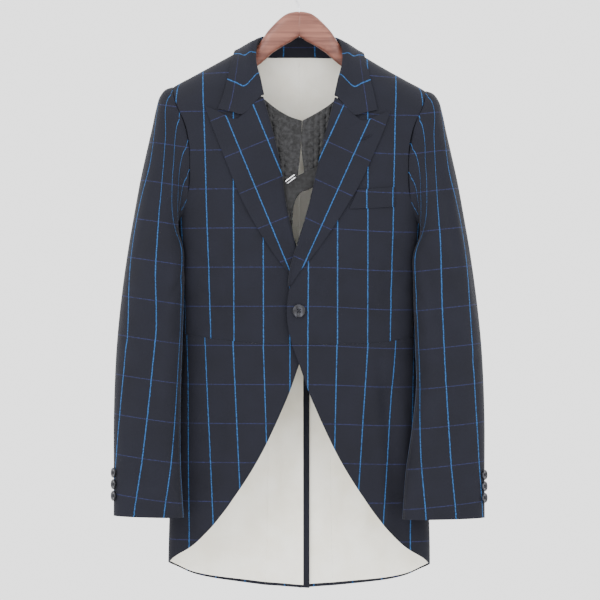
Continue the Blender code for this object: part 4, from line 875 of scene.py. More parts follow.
def clear_of_body(points: Array, margin: float) -> Array:
    """Moves sleeve points out of the body's side, away from a line inside it.

    Args:
        points: The points.
        margin: The least distance kept.

    Returns:
        The points.
    """
    moved = points.copy()
    drop = -points[..., 2]
    half_width = read(BODY, "drop", "half_width", drop) + margin
    front, back = (read(BODY, "drop", column, drop) + margin for column in ("front", "back"))
    core = CORE_SHARE * half_width
    away_x = points[..., 0] - core
    away_y = points[..., 1]
    low = np.ones_like(drop)
    high = np.full_like(drop, FARTHEST_MOVE)

    def fill(scale: Array) -> Array:
        """Below 1 where the scaled point lies inside the body's section."""
        reach = np.where(away_y < 0.0, front, back)
        across = np.abs(core + away_x * scale) / half_width
        return across**SQUARENESS + (np.abs(away_y * scale) / reach) ** SQUARENESS

    for _ in range(HALVINGS):
        middle = (low + high) / 2.0
        inside = fill(middle) < 1.0
        low = np.where(inside, middle, low)
        high = np.where(inside, high, middle)
    weight = ease(drop, *CLEARANCE_DROPS)
    scale = 1.0 + (np.where(fill(np.ones_like(drop)) < 1.0, high, 1.0) - 1.0) * weight
    moved[..., 0] = core + away_x * scale
    moved[..., 1] = away_y * scale
    return moved


def grid_normals(points: Array) -> Array:
    """Unit normals of a grid of points."""
    return unit(np.cross(np.gradient(points, axis=0), np.gradient(points, axis=1)))


def trimmed(outer: Array, inner: Array, edges: str = "TBSE") -> list[Array]:
    """Draws both faces of a wall back from the named edges by half the gap between shells.

    Args:
        outer: The outer face.
        inner: The inner face.
        edges: Which edges, of T, B, S and E.

    Returns:
        Both faces, drawn back.
    """
    faces = [outer.copy(), inner.copy()]
    for edge in edges:
        view = {
            "T": lambda face: (face[0], face[1]),
            "B": lambda face: (face[-1], face[-2]),
            "S": lambda face: (face[:, 0], face[:, 1]),
            "E": lambda face: (face[:, -1], face[:, -2]),
        }[edge]
        line, beside = view(faces[0])
        tangent = unit(np.gradient(line, axis=0))
        inward = beside - line
        inward -= (inward * tangent).sum(axis=1, keepdims=True) * tangent
        move = unit(inward) * SHELL_GAP / 2.0
        for face in faces:
            view(face)[0][:] += move
    return faces


def waist_drop(angle: Array) -> Array:
    """The drop of the waist seam round the body.

    Args:
        angle: Angles round it.

    Returns:
        The seam's drops.
    """
    x = body_base(angle, np.full_like(angle, WAIST_SIDE_DROP))[..., 0]
    fall = WAIST_CENTRE_DROP - WAIST_SIDE_DROP
    front = WAIST_CENTRE_DROP - fall * np.clip(x / WAIST_SIDE_X, 0.0, 1.0) ** 2
    back = WAIST_SIDE_DROP + (WAIST_BACK_DROP - WAIST_SIDE_DROP) * ease(angle, math.pi / 2.0, math.pi * 0.9)
    return np.where(angle < math.pi / 2.0, front, back)


def side_seam() -> Array:
    """The seam between a front and its side body, down to the waist."""
    drops = np.linspace(SIDE_SEAM_TOP, float(waist_drop(np.array(SIDE_SEAM_ANGLE))), SIDE_ROWS + 1)
    return np.stack([np.full(SIDE_ROWS + 1, SIDE_SEAM_ANGLE), drops], axis=1)


def waist_front(side: str) -> Array:
    """The waist seam from the front edge to the side seam.

    Args:
        side: Left or right; not used.

    Returns:
        The points.
    """
    edge = FRONT_EDGE[-1]
    start = float(angle_at(edge.x, edge.drop))
    angles = np.linspace(start, SIDE_SEAM_ANGLE, FRONT_COLUMNS + 1)
    return np.stack([angles, waist_drop(angles)], axis=1)


def side_back_seam() -> Array:
    """The seam between a side body and the back, down to the waist."""
    return on_body(along(SIDE_BACK_SEAM, SIDE_ROWS), back=True)


def waist_side() -> Array:
    """The waist seam from the side seam to the side-back seam.

    Returns:
        The points.
    """
    end = side_back_seam()[-1, 0]
    angles = np.linspace(SIDE_SEAM_ANGLE, end, SIDE_COLUMNS + 1)
    drops = waist_drop(angles)
    drops[-1] = WAIST_BACK_DROP
    return np.stack([angles, drops], axis=1)


def front_grid(side: str) -> Array:
    """The forebody: shoulder to waist, roll line and front edge to armhole and side seam.

    Args:
        side: Left or right.

    Returns:
        A grid of angle and drop pairs.
    """
    neck = np.array(NECK_FRONT[::-1], float) + (PANEL_BELOW_NECK, 0.0)
    roll = np.array(ROLL[side], float)[1:] + (ROLL_CLEARANCE, 0.0)
    edge = np.array(FRONT_EDGE, float)
    seam_x = NECK_RIDGE + PANEL_BELOW_NECK
    seam_end = np.array([[seam_x, shoulder_drop(seam_x)]])
    rows = ARMHOLE_ROWS + SIDE_ROWS
    bunched = np.linspace(0.0, 1.0, ARMHOLE_ROWS + 1) ** SHOULDER_BUNCH
    armhole = on_body(along(ARMHOLE_FRONT, ARMHOLE_ROWS, spread=bunched))
    seam = side_seam()
    armhole[-1] = seam[0]
    down = (joined(armhole, seam)[:, 1] - armhole[0, 1]) / (seam[-1, 1] - armhole[0, 1])
    start = on_body(along(np.vstack([seam_end, neck, roll, edge]), rows, spread=down))
    bottom = waist_front(side)
    start[-1] = bottom[0]
    shoulder_x = np.linspace(seam_x, ARMHOLE_FRONT[0].x, FRONT_COLUMNS + 1)
    top = on_body(np.stack([shoulder_x, shoulder_drop(shoulder_x)], axis=1))
    top[-1] = armhole[0]
    start[0] = top[0]
    return body_patch(start, joined(armhole, seam), top, bottom)


def side_body_grid() -> Array:
    """The side body: under the armhole, from the side seam to the side-back seam.

    Returns:
        A grid of angle and drop pairs.
    """
    start = side_seam()
    end = side_back_seam()
    half_turn = np.array([[math.pi / 2.0, UNDERARM_DROP]])
    low_back = on_body(np.array(ARMHOLE_BACK[:3:-1], float), back=True)
    top = along(np.vstack([start[:1], half_turn, low_back]) * ANGLE_SCALE, SIDE_COLUMNS) / ANGLE_SCALE
    top[0] = start[0]
    top[-1] = end[0]
    return body_patch(start, end, top, waist_side())


def back_grid(side: str, centre_inset: float = 0.0) -> Array:
    """A back in one with its tail: centre seam to armhole and side-back seam, neck to hem.

    Args:
        side: Left or right.
        centre_inset: How far in from the centre the cloth ends.

    Returns:
        A grid of angle and drop pairs.
    """
    past_centre = UNDERLAP if side == "right" else 0.0
    bunched = np.linspace(0.0, 1.0, BACK_ARMHOLE_ROWS + 1) ** SHOULDER_BUNCH
    armhole = on_body(along(ARMHOLE_BACK[:5], BACK_ARMHOLE_ROWS, spread=bunched), back=True)
    seam = side_back_seam()
    armhole[-1] = seam[0]
    tail = on_body(along(TAIL_SEAM, TAIL_ROWS), back=True)
    tail[0] = seam[-1]
    end = joined(armhole, seam, tail)
    neck_top = NECK_BACK[-1].drop + PANEL_BELOW_NECK
    drops = np.concatenate([[neck_top], end[1:-1, 1], [CENTRE_HEM_DROP]])
    drops[1:BACK_ARMHOLE_ROWS] += (neck_top - end[0, 1]) * np.linspace(0.8, 0.2, BACK_ARMHOLE_ROWS - 1)
    past = (past_centre - centre_inset) * ease(drops, WAIST_BACK_DROP + VENT_OPENS_BELOW_WAIST, VENT_TOP)
    start = on_body(np.stack([-past, drops], axis=1), back=True)
    neck = np.array(NECK_BACK[::-1], float) + (0.0, PANEL_BELOW_NECK)
    seam_x = NECK_RIDGE + PANEL_BELOW_NECK
    neck = np.vstack([neck, [[seam_x, shoulder_drop(seam_x)]]])
    shoulder_x = np.linspace(seam_x, ARMHOLE_BACK[0].x, SHOULDER_COLUMNS + 1)
    shoulder = np.stack([shoulder_x, shoulder_drop(shoulder_x)], axis=1)
    bunched = 1.0 - np.linspace(1.0, 0.0, NECK_COLUMNS + 1) ** SHOULDER_BUNCH
    top = on_body(joined(along(neck, NECK_COLUMNS, spread=bunched), shoulder), back=True)
    top[-1] = armhole[0]
    top[0] = start[0]
    share = np.linspace(0.0, 1.0, len(top))[:, None]
    lower = np.stack([(1.0 - share) * a + share * b for a, b in zip(start, end)])[BACK_ARMHOLE_ROWS:]
    to_seam = slice(None, BACK_ARMHOLE_ROWS + 1)
    upper = body_patch(start[to_seam], end[to_seam], top, lower[0])
    return joined(upper, lower)


def skirt_grid() -> Array:
    """A skirt: waist seam to hem, cutaway edge to the tail's seam.

    Returns:
        A grid of angle and drop pairs.
    """
    top = joined(waist_front("left"), waist_side())
    columns = len(top) - 1
    start = on_body(along(CUTAWAY, SKIRT_ROWS))
    start[0] = top[0]
    end = on_body(along(TAIL_SEAM, SKIRT_ROWS), back=True)
    end[0] = top[-1]
    hem = np.array(HEM, float)
    side_x = read(BODY, "drop", "half_width", hem[:, 1])
    front_side = angle_at(hem[:1, 0], hem[:1, 1])
    angles = np.concatenate([front_side, math.pi - np.arcsin(np.clip(hem[1:, 0] / side_x[1:], -1.0, 1.0))])
    bottom = along(np.stack([angles, hem[:, 1]], axis=1) * ANGLE_SCALE, columns) / ANGLE_SCALE
    bottom[0] = start[-1]
    bottom[-1] = end[-1]
    return body_patch(start, end, top, bottom)


def collar_frames() -> tuple[Array, Array, Array]:
    """The collar's fold on one side, front to back, with its inward and upward directions.

    Returns:
        The fold, with its inward and upward directions.
    """
    fold = np.array(COLLAR_FOLD, float) * (1.0, 1.0, -1.0)
    fold = along(fold, COLLAR_COLUMNS)
    tangent = np.gradient(fold, axis=0)
    tangent[-1] = (-1.0, 0.0, 0.0)
    tangent = unit(tangent)
    inward = fold * (-1.0, -1.0, 0.0)
    inward[-1, 0] = 0.0
    inward -= (inward * tangent).sum(axis=1, keepdims=True) * tangent
    inward = unit(inward)
    upward = np.cross(tangent, inward)
    upward *= np.where(upward[:, 2:3] < 0.0, -1.0, 1.0)
    return fold, inward, upward


def whole_collar(right: Array, left: Array) -> Array:
    """One strip from the right front round the back to the left front."""
    mirrored = right * (-1.0, 1.0, 1.0)
    return np.concatenate([mirrored, left[:, -2::-1]], axis=1)


def leaf_faces(side: str) -> list[Array]:
    """Both faces of half the collar's leaf, rows from the fold to the outer edge.

    Args:
        side: Left or right.

    Returns:
        The outer and the inner face.
    """
    fold, inward, upward = collar_frames()
    front = on_body(along((COLLAR_TIP[side],) + COLLAR_EDGE_FRONT, 3))
    edge = [body(front[:, 0], front[:, 1], COLLAR_LIFT)]
    ridge_drop = float(shoulder_drop(COLLAR_EDGE_RIDGE))
    ridge = body_base(angle_at(COLLAR_EDGE_RIDGE, ridge_drop), ridge_drop)
    edge.append((ridge + (0.0, 0.0, COLLAR_LIFT + COLLAR_RIDGE_EASE))[None])
    back = on_body(COLLAR_EDGE_BACK, back=True)
    edge.append(body(back[:, 0], back[:, 1], COLLAR_LIFT))
    outer_edge = along(np.concatenate(edge), COLLAR_COLUMNS)
    roll = np.array([[1.0, -COLLAR_LIP / COLLAR_ROLL], [1.0, -0.1], [0.5, 0.85], [-0.6, 0.8]])
    gorge = along([COLLAR_FOLD_START, GORGE_END[side], COLLAR_TIP[side]], LEAF_ROWS, straight=True)
    from_tip = np.array(GORGE_END[side]) - COLLAR_TIP[side]
    gorge[LEAF_ROWS // 2 + 1] = COLLAR_TIP[side] + from_tip * COLLAR_GORGE_SHARE
    gorge[LEAF_ROWS // 2] = GORGE_END[side]
    gorge = on_body(gorge)
    front_side = body(gorge[:, 0], gorge[:, 1], np.linspace(COLLAR_FRONT_LIFT, COLLAR_LIFT, LEAF_ROWS + 1))
    top = fold + COLLAR_ROLL * (roll[3, 0] * inward + roll[3, 1] * upward)
    front_side[0] = top[0]
    front_side[-1] = outer_edge[0]
    centre_back = np.linspace(top[-1], outer_edge[-1], LEAF_ROWS + 1)
    sheet = patch(front_side, centre_back, top, outer_edge)
    share = np.linspace(0.0, 1.0, LEAF_ROWS + 1)[:, None, None]
    normal = grid_normals(sheet)
    from_inside = sheet - (0.0, 0.0, -CHEST_DROP)
    normal *= np.where((normal * from_inside).sum(axis=-1, keepdims=True) < 0.0, -1.0, 1.0)
    sheet = sheet + normal * COLLAR_BULGE * np.sin(np.pi * share)
    over_seam = np.exp(-(((sheet[..., 1] - SHOULDER_SEAM_Y) / COLLAR_EASE_REACH) ** 2))
    off = keep_off(sheet, COLLAR_LIFT + COLLAR_RIDGE_EASE * over_seam)
    sheet = sheet + (off - sheet) * ease(share, 0.0, COLLAR_FREE_SHARE)
    faces = []
    for radius, sink in ((COLLAR_ROLL, 0.0), (COLLAR_ROLL - LAPEL_CLOTH, LAPEL_CLOTH)):
        lip = [fold + radius * a * inward + radius * b * upward for a, b in roll[1:3]]
        lip.insert(0, fold + radius * inward - COLLAR_LIP * upward)
        lip.append(fold + radius * (roll[3, 0] * inward + roll[3, 1] * upward))
        lip = np.stack(lip)
        faces.append(np.concatenate([lip, (sheet - normal * sink)[1:]]))
    return faces


def sleeve_ring(side: str, row: Cuffward, angles: Array) -> Array:
    """Points of one sleeve section, 0 at the outside and a quarter turn at the front.

    Args:
        side: Left or right.
        row: A section of the sleeve.
        angles: Angles round it.

    Returns:
        The points.
    """
    inner_x = row.inner_left if side == "left" else row.inner_right
    outer = np.array([row.outer_x, row.y, -row.outer_drop])
    inner = np.array([inner_x, row.y, -row.inner_drop])
    middle = (outer + inner) / 2.0
    reach = (outer - inner) / 2.0
    cosine, sine = rounded_square(angles, SLEEVE_SQUARENESS)
    points = middle + cosine[:, None] * reach
    points[:, 1] -= sine * row.half_depth
    return points


def armhole_ring(angles: Array) -> Array:
    """Points of the armhole's edge that face the first sleeve section.

    Args:
        angles: Angles round it.

    Returns:
        The points.
    """
    share = (1.0 - np.cos(angles)) / 2.0
    drop = ARMHOLE_FRONT[0].drop + (UNDERARM_DROP - ARMHOLE_FRONT[0].drop) * share
    bottom = (Spot(float(read(BODY, "drop", "half_width", UNDERARM_DROP)), UNDERARM_DROP),)
    front_edge, back_edge = (along(edge + bottom, 200).T for edge in (ARMHOLE_FRONT, ARMHOLE_BACK))
    front_x = np.interp(drop, front_edge[1], front_edge[0])
    back_x = np.interp(drop, back_edge[1], back_edge[0])
    front = body(angle_at(front_x, drop), drop)
    back = body(angle_at(back_x, drop, back=True), drop)
    return np.where((np.sin(angles) >= 0.0)[:, None], front, back)


def sleeve_trough(side: str, angles: Array, drops: Array, ring: Array) -> Array:
    """Moves a ring's points toward its middle where a fold runs.

    Args:
        side: Left or right.
        angles: Angles round it.
        drops: Drops of a ring's points.
        ring: A ring's points.

    Returns:
        The points.
    """
    inward = unit(ring.mean(axis=0) - ring)
    depth = np.zeros(len(angles))
    for trough in SLEEVE_TROUGHS:
        if trough.side != side:
            continue
        share = np.clip((drops - trough.top) / (trough.bottom - trough.top), 0.0, 1.0)
        target = np.radians(trough.top_angle + (trough.bottom_angle - trough.top_angle) * share)
        apart = np.degrees(np.abs(np.mod(angles - target + math.pi, 2.0 * math.pi) - math.pi))
        length = fold_length(trough.top, trough.bottom, drops)
        depth += trough.depth * np.exp(-((apart / trough.width) ** 2)) * length
    return inward * depth[:, None]


def sleeve_faces(side: str, angles: Array) -> list[Array]:
    """Both faces of a sleeve strip between two angles, row by row.

    Args:
        side: Left or right.
        angles: Angles round it.

    Returns:
        The outer and the inner face.
    """
    full = np.linspace(0.0, 2.0 * math.pi, SLEEVE_SAMPLES + 1)[:-1]
    loop = armhole_ring(full)
    home = sleeve_ring(side, SLEEVE[0], full)
    shift = loop - home
    run = run_along(np.array([(row.outer_x, row.outer_drop) for row in SLEEVE]))
    tubes = []
    for row, travel in zip(SLEEVE, run):
        weight = max(0.0, 1.0 - travel / ARMHOLE_BLEND) ** ARMHOLE_BLEND_POWER
        ring = sleeve_ring(side, row, full) + shift * weight
        ring = ring + sleeve_trough(side, full, -ring[:, 2], ring)
        tubes.append(clear_of_body(ring, BODY_CLEARANCE))
    tube = np.stack(tubes)
    around = np.roll(tube, -1, axis=1) - np.roll(tube, 1, axis=1)
    down = np.gradient(tube, axis=0)
    normal = unit(np.cross(around, down))
    centre = tube.mean(axis=1, keepdims=True)
    outward = ((tube - centre) * normal).sum(axis=-1).mean()
    normal *= math.copysign(1.0, outward)
    tube = tube.copy()
    tube[0] += unit(tube[1] - tube[0]) * ARMHOLE_GAP
    faces = []
    for skin in (tube, tube - normal * WOOL):
        wrapped = np.concatenate([skin, skin[:, :1]], axis=1)
        keys = np.append(full, 2.0 * math.pi)
        rows = []
        for k in range(len(SLEEVE)):
            wanted = np.mod(angles[k], 2.0 * math.pi)
            columns = [np.interp(wanted, keys, wrapped[k, :, axis]) for axis in range(3)]
            rows.append(np.stack(columns, axis=1))
        faces.append(np.stack(rows))
    return faces


def seam_angles(seam: tuple[float, float]) -> Array:
    """A seam's angle at each sleeve section."""
    share = ease(np.arange(len(SLEEVE)), 0.0, len(SLEEVE) - 1.0)
    return seam[0] + (seam[1] - seam[0]) * share


# How finely the cloth is made, and how its edges and seams look.
CLOTH_STEP = 4.4
SEAM_RELIEF = 0.42
SEAM_REACH = 2.2
EDGE_LINES = (1.3, 3.0)
BEVEL = 0.42
SHELL_GAP = 0.06
NARROWEST_CUT = 0.0101
NARROWEST_CELL = 0.45
SHARP_EDGE = math.radians(48.0)
EDGE_WEAR = 2.5
END_INSET = 0.12


def stations(run: Array, step: float, least: int = 1, lines: bool = True) -> Array:
    """Places along an edge: each stretch of it in even parts, and two lines near each end.

    Args:
        run: The length at which each coarse line lies.
        step: The widest part allowed.
        least: The fewest parts in a stretch.
        lines: Whether the lines near the ends are added.

    Returns:
        Lengths along the edge, rising.
    """
    parts = [
        np.linspace(a, b, max(least, math.ceil((b - a) / step)) + 1)[:-1] for a, b in zip(run[:-1], run[1:])
    ]
    places = np.concatenate(parts + [run[-1:]])
    if lines:
        near = np.array(EDGE_LINES)
        places = np.concatenate([places, near, run[-1] - near])
    places = np.sort(places)
    keep = np.concatenate([[True], np.diff(places) > NARROWEST_CELL])
    keep[-1] = True
    keep[-2] = places[-1] - places[-2] > NARROWEST_CELL
    return places[keep]


def mean_run(points: Array) -> Array:
    """The length down a grid at each of its rows, averaged over its columns."""
    steps = np.linalg.norm(np.diff(points, axis=0), axis=-1).mean(axis=1)
    return np.concatenate([[0.0], np.cumsum(steps)])


def smooth(values: Array, run: Array, at: Array) -> Array:
    """Rows of values read along their run with a cubic through each row.

    Args:
        values: An array whose first axis follows run.
        run: The length at each row.
        at: The lengths that are wanted.

    Returns:
        The values at those lengths.
    """
    slope = np.gradient(values, run, axis=0)
    cell = np.clip(np.searchsorted(run, at, side="right") - 1, 0, len(run) - 2)
    width = run[cell + 1] - run[cell]
    share = (at - run[cell]) / width
    shape = (-1,) + (1,) * (values.ndim - 1)
    return cubic(share.reshape(shape), width.reshape(shape), values, slope, cell)


@dataclass
class Weave:
    """A finer reading of a coarse grid, with how far each line lies from the edges."""

    down: Array
    across: Array
    run_down: Array
    run_across: Array

    @classmethod
    def over(cls, points: Array, step: float = CLOTH_STEP, least: int = 1) -> "Weave":
        """Plans the lines of a piece from its coarse points.

        Args:
            points: The coarse grid, in millimetres.
            step: The widest cell.
            least: The fewest parts in each coarse cell across.

        Returns:
            The plan.
        """
        down = mean_run(points)
        across = mean_run(points.transpose(1, 0, 2))
        return cls(stations(down, step), stations(across, step, least), down, across)

    def read(self, values: Array) -> Array:
        """The values of a coarse grid at every fine line."""
        rows = smooth(values, self.run_down, self.down)
        columns = smooth(np.swapaxes(rows, 0, 1), self.run_across, self.across)
        return np.swapaxes(columns, 0, 1)

    def relief(self, sewn: str) -> Array:
        """How much the cloth sinks at its sewn edges, falling off as a bell.

        Args:
            sewn: Which edges are sewn, of T, B, S and E.

        Returns:
            A depth for each fine point.
        """
        from_edge = {
            "T": self.down[:, None],
            "B": (self.down[-1] - self.down)[:, None],
            "S": self.across[None, :],
            "E": (self.across[-1] - self.across)[None, :],
        }
        depth = np.zeros((len(self.down), len(self.across)))
        for edge in sewn:
            depth = np.maximum(depth, np.exp(-((from_edge[edge] / SEAM_REACH) ** 2)) + 0.0 * depth)
        return SEAM_RELIEF * depth

    def edge(self) -> Array:
        """1 at the piece's outline, falling to 0 a few millimetres inside."""
        rows = np.minimum(self.down, self.down[-1] - self.down)[:, None]
        columns = np.minimum(self.across, self.across[-1] - self.across)[None, :]
        return np.exp(-np.minimum(rows, columns) / EDGE_WEAR)


def add_mesh(name: str, points: Array, faces: Array, finish: Material) -> Piece:
    """An object at the origin from points in millimetres and faces of equal size.

    Args:
        name: The piece's name.
        points: Its points.
        faces: Rows of point numbers.
        finish: Its material.

    Returns:
        The object.
    """
    mesh = bpy.data.meshes.new(name)
    mesh.from_pydata((points * MM).tolist(), [], faces.tolist())
    mesh.shade_smooth()
    mesh.set_sharp_from_angle(angle=SHARP_EDGE)
    mesh.materials.append(finish)
    item = bpy.data.objects.new(name, mesh)
    bpy.context.scene.collection.objects.link(item)
    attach(item, "root")
    return item


def outward(points: Array, faces: Array) -> Array:
    """Turns the faces of a closed mesh so that its volume is above 0."""
    corners = points[faces]
    fan = np.cross(corners[:, 1] - corners[:, 0], corners[:, 2] - corners[:, 0])
    fan += np.cross(corners[:, 2] - corners[:, 0], corners[:, -1] - corners[:, 0])
    flux = (corners.mean(axis=1) * fan).sum()
    return faces[:, ::-1] if flux < 0.0 else faces


def bevel(item: Piece, width: float = BEVEL) -> None:
    """Rounds a piece's hard edges by width in millimetres."""
    modifier = item.modifiers.new("Rounded edge", "BEVEL")
    modifier.width = width * MM
    modifier.segments = 2
    modifier.limit_method = "ANGLE"
    modifier.angle_limit = math.radians(50.0)


def sheet_area(points: Array) -> float:
    """The area of a grid's face in square metres: half the cross product of each cell's diagonals."""
    a = points[1:, 1:] - points[:-1, :-1]
    b = points[1:, :-1] - points[:-1, 1:]
    return float(np.linalg.norm(np.cross(a, b), axis=-1).sum() / 2.0 * MM * MM)


@dataclass
class Shell:
    """A wall of cloth or leather between two grids of points."""

    name: str
    side: str
    outer: Array
    inner: Array
    check: Array
    edge: Array
    slot: str
    node: str
    rests_on: tuple[str, ...] = ("hanger_body",)
    settled: bool = True

    def make(self, finish: Material, cloth_sheet: bool = True) -> Piece:
        """Args:
            finish: The material.
            cloth_sheet: Whether it is a sheet of cloth.

        Returns:
            The piece.
        """
        rows, columns = self.outer.shape[:2]
        count = rows * columns
        points = np.concatenate([self.outer.reshape(-1, 3), self.inner.reshape(-1, 3)])
        points[:, 0] *= SIDES[self.side]
        if self.settled:
            points = settle(points)
        index = np.arange(count).reshape(rows, columns)
        quad = np.stack([index[:-1, :-1], index[:-1, 1:], index[1:, 1:], index[1:, :-1]], axis=-1)
        face = quad.reshape(-1, 4)
        loop = np.concatenate([index[0, :-1], index[:-1, -1], index[-1, :0:-1], index[:0:-1, 0]])
        rim = np.stack([np.roll(loop, -1), loop, loop + count, np.roll(loop, -1) + count], axis=1)
        faces = outward(points, np.concatenate([face, face[:, ::-1] + count, rim]))
        item = add_mesh(self.name, points, faces, finish)
        mesh = item.data
        corners = np.empty(len(mesh.loops), np.int32)
        mesh.loops.foreach_get("vertex_index", corners)
        flat = np.tile(self.check.reshape(-1, 2), (2, 1))
        mesh.uv_layers.new(name="Check").data.foreach_set("uv", flat[corners].astype(np.float32).ravel())
        wear = mesh.attributes.new("edge", "FLOAT", "POINT")
        wear.data.foreach_set("value", np.tile(self.edge.ravel(), 2).astype(np.float32))
        bevel(item)
        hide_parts(self.node)
        if cloth_sheet:
            self.declare()
        LOG.info("%s: %d by %d points", self.name, rows, columns)
        return item

    def declare(self) -> None:
        """States the sheet's cut: its greatest width and length, and its area."""
        width = float(np.linalg.norm(np.diff(self.outer, axis=1), axis=-1).sum(axis=1).max()) * MM
        length = float(np.linalg.norm(np.diff(self.outer, axis=0), axis=-1).sum(axis=0).max()) * MM
        width = max(width, NARROWEST_CUT)
        area = sheet_area(self.outer)
        LOG.info("%s: cut %.3f by %.3f m, %.4f square metres", self.name, width, length, area)
        list(self.rests_on)


class Socket(Enum):
    """The kinds of socket that a shared effect has."""

    NUMBER = "NodeSocketFloat"
    COLOUR = "NodeSocketColor"
    VECTOR = "NodeSocketVector"


class Graph:
    """A small writer of shader nodes: each call adds one node and links what it is given."""

    def __init__(self, tree: Tree) -> None:
        """Keeps the tree that is written to."""
        self.tree = tree
        self.count = 0

    def add(self, kind: str, given: dict[Any, Any] | None = None, **settings: Any) -> bpy.types.Node:
        """Adds a node, sets its properties, and links or sets its inputs.

        Args:
            kind: The node's type.
            given: Inputs by name or number, each a socket or a value.
            settings: The node's own properties.

        Returns:
            The node.
        """
        node = self.tree.nodes.new(kind)
        node.location = (180.0 * (self.count % 8), -220.0 * (self.count // 8))
        self.count += 1
        for key, value in settings.items():
            setattr(node, key, value)
        for key, value in (given or {}).items():
            if isinstance(value, Value):
                self.tree.links.new(value, node.inputs[key])
            else:
                node.inputs[key].default_value = value
        return node

    def math(self, operation: str, a: Any, b: Any = 0.0, c: Any = 0.0) -> Value:
        """One step of arithmetic."""
        return self.add("ShaderNodeMath", {0: a, 1: b, 2: c}, operation=operation).outputs[0]

    def noise(self, vector: Any, scale: float, detail: float = 2.0) -> Value:
        """A noise value over a vector."""
        node = self.add("ShaderNodeTexNoise", {"Vector": vector, "Scale": scale, "Detail": detail})
        return node.outputs[0]

    def stretch(self, vector: Any, scale: tuple[float, float, float]) -> Value:
        """A vector times a scale along each axis."""
        node = self.add("ShaderNodeVectorMath", {0: vector, 1: scale}, operation="MULTIPLY")
        return node.outputs[0]

    def band(self, value: Any, low: float, high: float, floor: float, top: float) -> Value:
        """A value's range from low to high, eased to floor and top."""
        given = {0: value, 1: low, 2: high, 3: floor, 4: top}
        return self.add("ShaderNodeMapRange", given, interpolation_type="SMOOTHSTEP").outputs[0]

    def mix(self, share: Any, a: Any, b: Any) -> Value:
        """A blend of two colours."""
        return self.add("ShaderNodeMix", {0: share, 6: a, 7: b}, data_type="RGBA").outputs[2]


def effect(name: str, takes: dict[str, tuple[Socket, Any]], gives: tuple[str, ...]) -> tuple[Any, Any, Any]:
    """A new shader node group with named sockets.

    Args:
        name: The group's name.
        takes: Its inputs, each with a kind and a usual value.
        gives: The names of its numbers.

    Returns:
        The group's graph, its input node and its output node.
    """
    tree = bpy.data.node_groups.new(name, "ShaderNodeTree")
    for label, (kind, usual) in takes.items():
        socket = tree.interface.new_socket(label, in_out="INPUT", socket_type=kind.value)
        if usual is not None:
            socket.default_value = usual
    for label in gives:
        tree.interface.new_socket(label, in_out="OUTPUT", socket_type=Socket.NUMBER.value)
    graph = Graph(tree)
    return graph, graph.add("NodeGroupInput"), graph.add("NodeGroupOutput")


def windowpane_effect() -> Tree:
    """The check: a line at each whole number of a repeat both ways, broken by slubs in the yarn."""
    takes = {
        "Pattern": (Socket.VECTOR, None),
        "Upright half width": (Socket.NUMBER, 0.0009),
        "Cross half width": (Socket.NUMBER, 0.0006),
    }
    graph, into, out = effect("Windowpane", takes, ("Upright", "Cross"))
    split = graph.add("ShaderNodeSeparateXYZ", {0: into.outputs["Pattern"]})
    for axis, repeat, half, slub, label in (
        (0, CHECK_ACROSS, "Upright half width", (900.0, 210.0, 1.0), "Upright"),
        (1, CHECK_DOWN, "Cross half width", (210.0, 900.0, 1.0), "Cross"),
    ):
        whole = graph.math("ROUND", graph.math("DIVIDE", split.outputs[axis], repeat * MM))
        away = graph.math("SUBTRACT", split.outputs[axis], graph.math("MULTIPLY", whole, repeat * MM))
        yarn = graph.noise(graph.stretch(into.outputs["Pattern"], slub), 1.0, 3.0)
        away = graph.math("ADD", away, graph.math("MULTIPLY", graph.math("SUBTRACT", yarn, 0.5), 0.0017))
        reach = graph.math("DIVIDE", graph.math("ABSOLUTE", away), into.outputs[half])
        line = graph.band(reach, 0.55, 1.25, 1.0, 0.0)
        fade = graph.band(graph.noise(into.outputs["Pattern"], 620.0, 4.0), 0.36, 0.6, 0.22, 1.0)
        graph.tree.links.new(graph.math("MULTIPLY", line, fade), out.inputs[label])
    return graph.tree


def weave_effect() -> Tree:
    """A twill: fine slanted ribs, with fibres at random, and a slow mottle."""
    takes = {
        "Pattern": (Socket.VECTOR, None),
        "Place": (Socket.VECTOR, None),
        "Rib": (Socket.NUMBER, 0.0009),
        "Slant": (Socket.NUMBER, 1.0),
    }
    graph, into, out = effect("Twill", takes, ("Height", "Mottle", "Fibre"))
    split = graph.add("ShaderNodeSeparateXYZ", {0: into.outputs["Pattern"]})
    slanted = graph.math("MULTIPLY_ADD", split.outputs[1], into.outputs["Slant"], split.outputs[0])
    turn = graph.math("MULTIPLY", graph.math("DIVIDE", slanted, into.outputs["Rib"]), 2.0 * math.pi)
    ribs = graph.math("MULTIPLY_ADD", graph.math("SINE", turn), 0.3, 0.5)
    fibre = graph.noise(graph.stretch(into.outputs["Pattern"], (2600.0, 700.0, 1.0)), 1.0, 2.0)
    graph.tree.links.new(graph.math("ADD", ribs, graph.math("MULTIPLY", fibre, 0.5)), out.inputs["Height"])
    graph.tree.links.new(graph.noise(into.outputs["Place"], 22.0, 4.0), out.inputs["Mottle"])
    graph.tree.links.new(fibre, out.inputs["Fibre"])
    return graph.tree


def grain_effect() -> Tree:
    """Long grain along a piece: noise stretched one way, with pores."""
    takes = {"Place": (Socket.VECTOR, None), "Along": (Socket.NUMBER, 14.0), "Fine": (Socket.NUMBER, 420.0)}
    graph, into, out = effect("Grain", takes, ("Figure", "Pores"))
    fine = into.outputs["Fine"]
    long_way = graph.add("ShaderNodeCombineXYZ", {0: into.outputs["Along"], 1: fine, 2: fine})
    given = {0: into.outputs["Place"], 1: long_way.outputs[0]}
    place = graph.add("ShaderNodeVectorMath", given, operation="MULTIPLY").outputs[0]
    graph.tree.links.new(graph.noise(place, 0.35, 5.0), out.inputs["Figure"])
    graph.tree.links.new(graph.noise(place, 2.6, 2.0), out.inputs["Pores"])
    return graph.tree


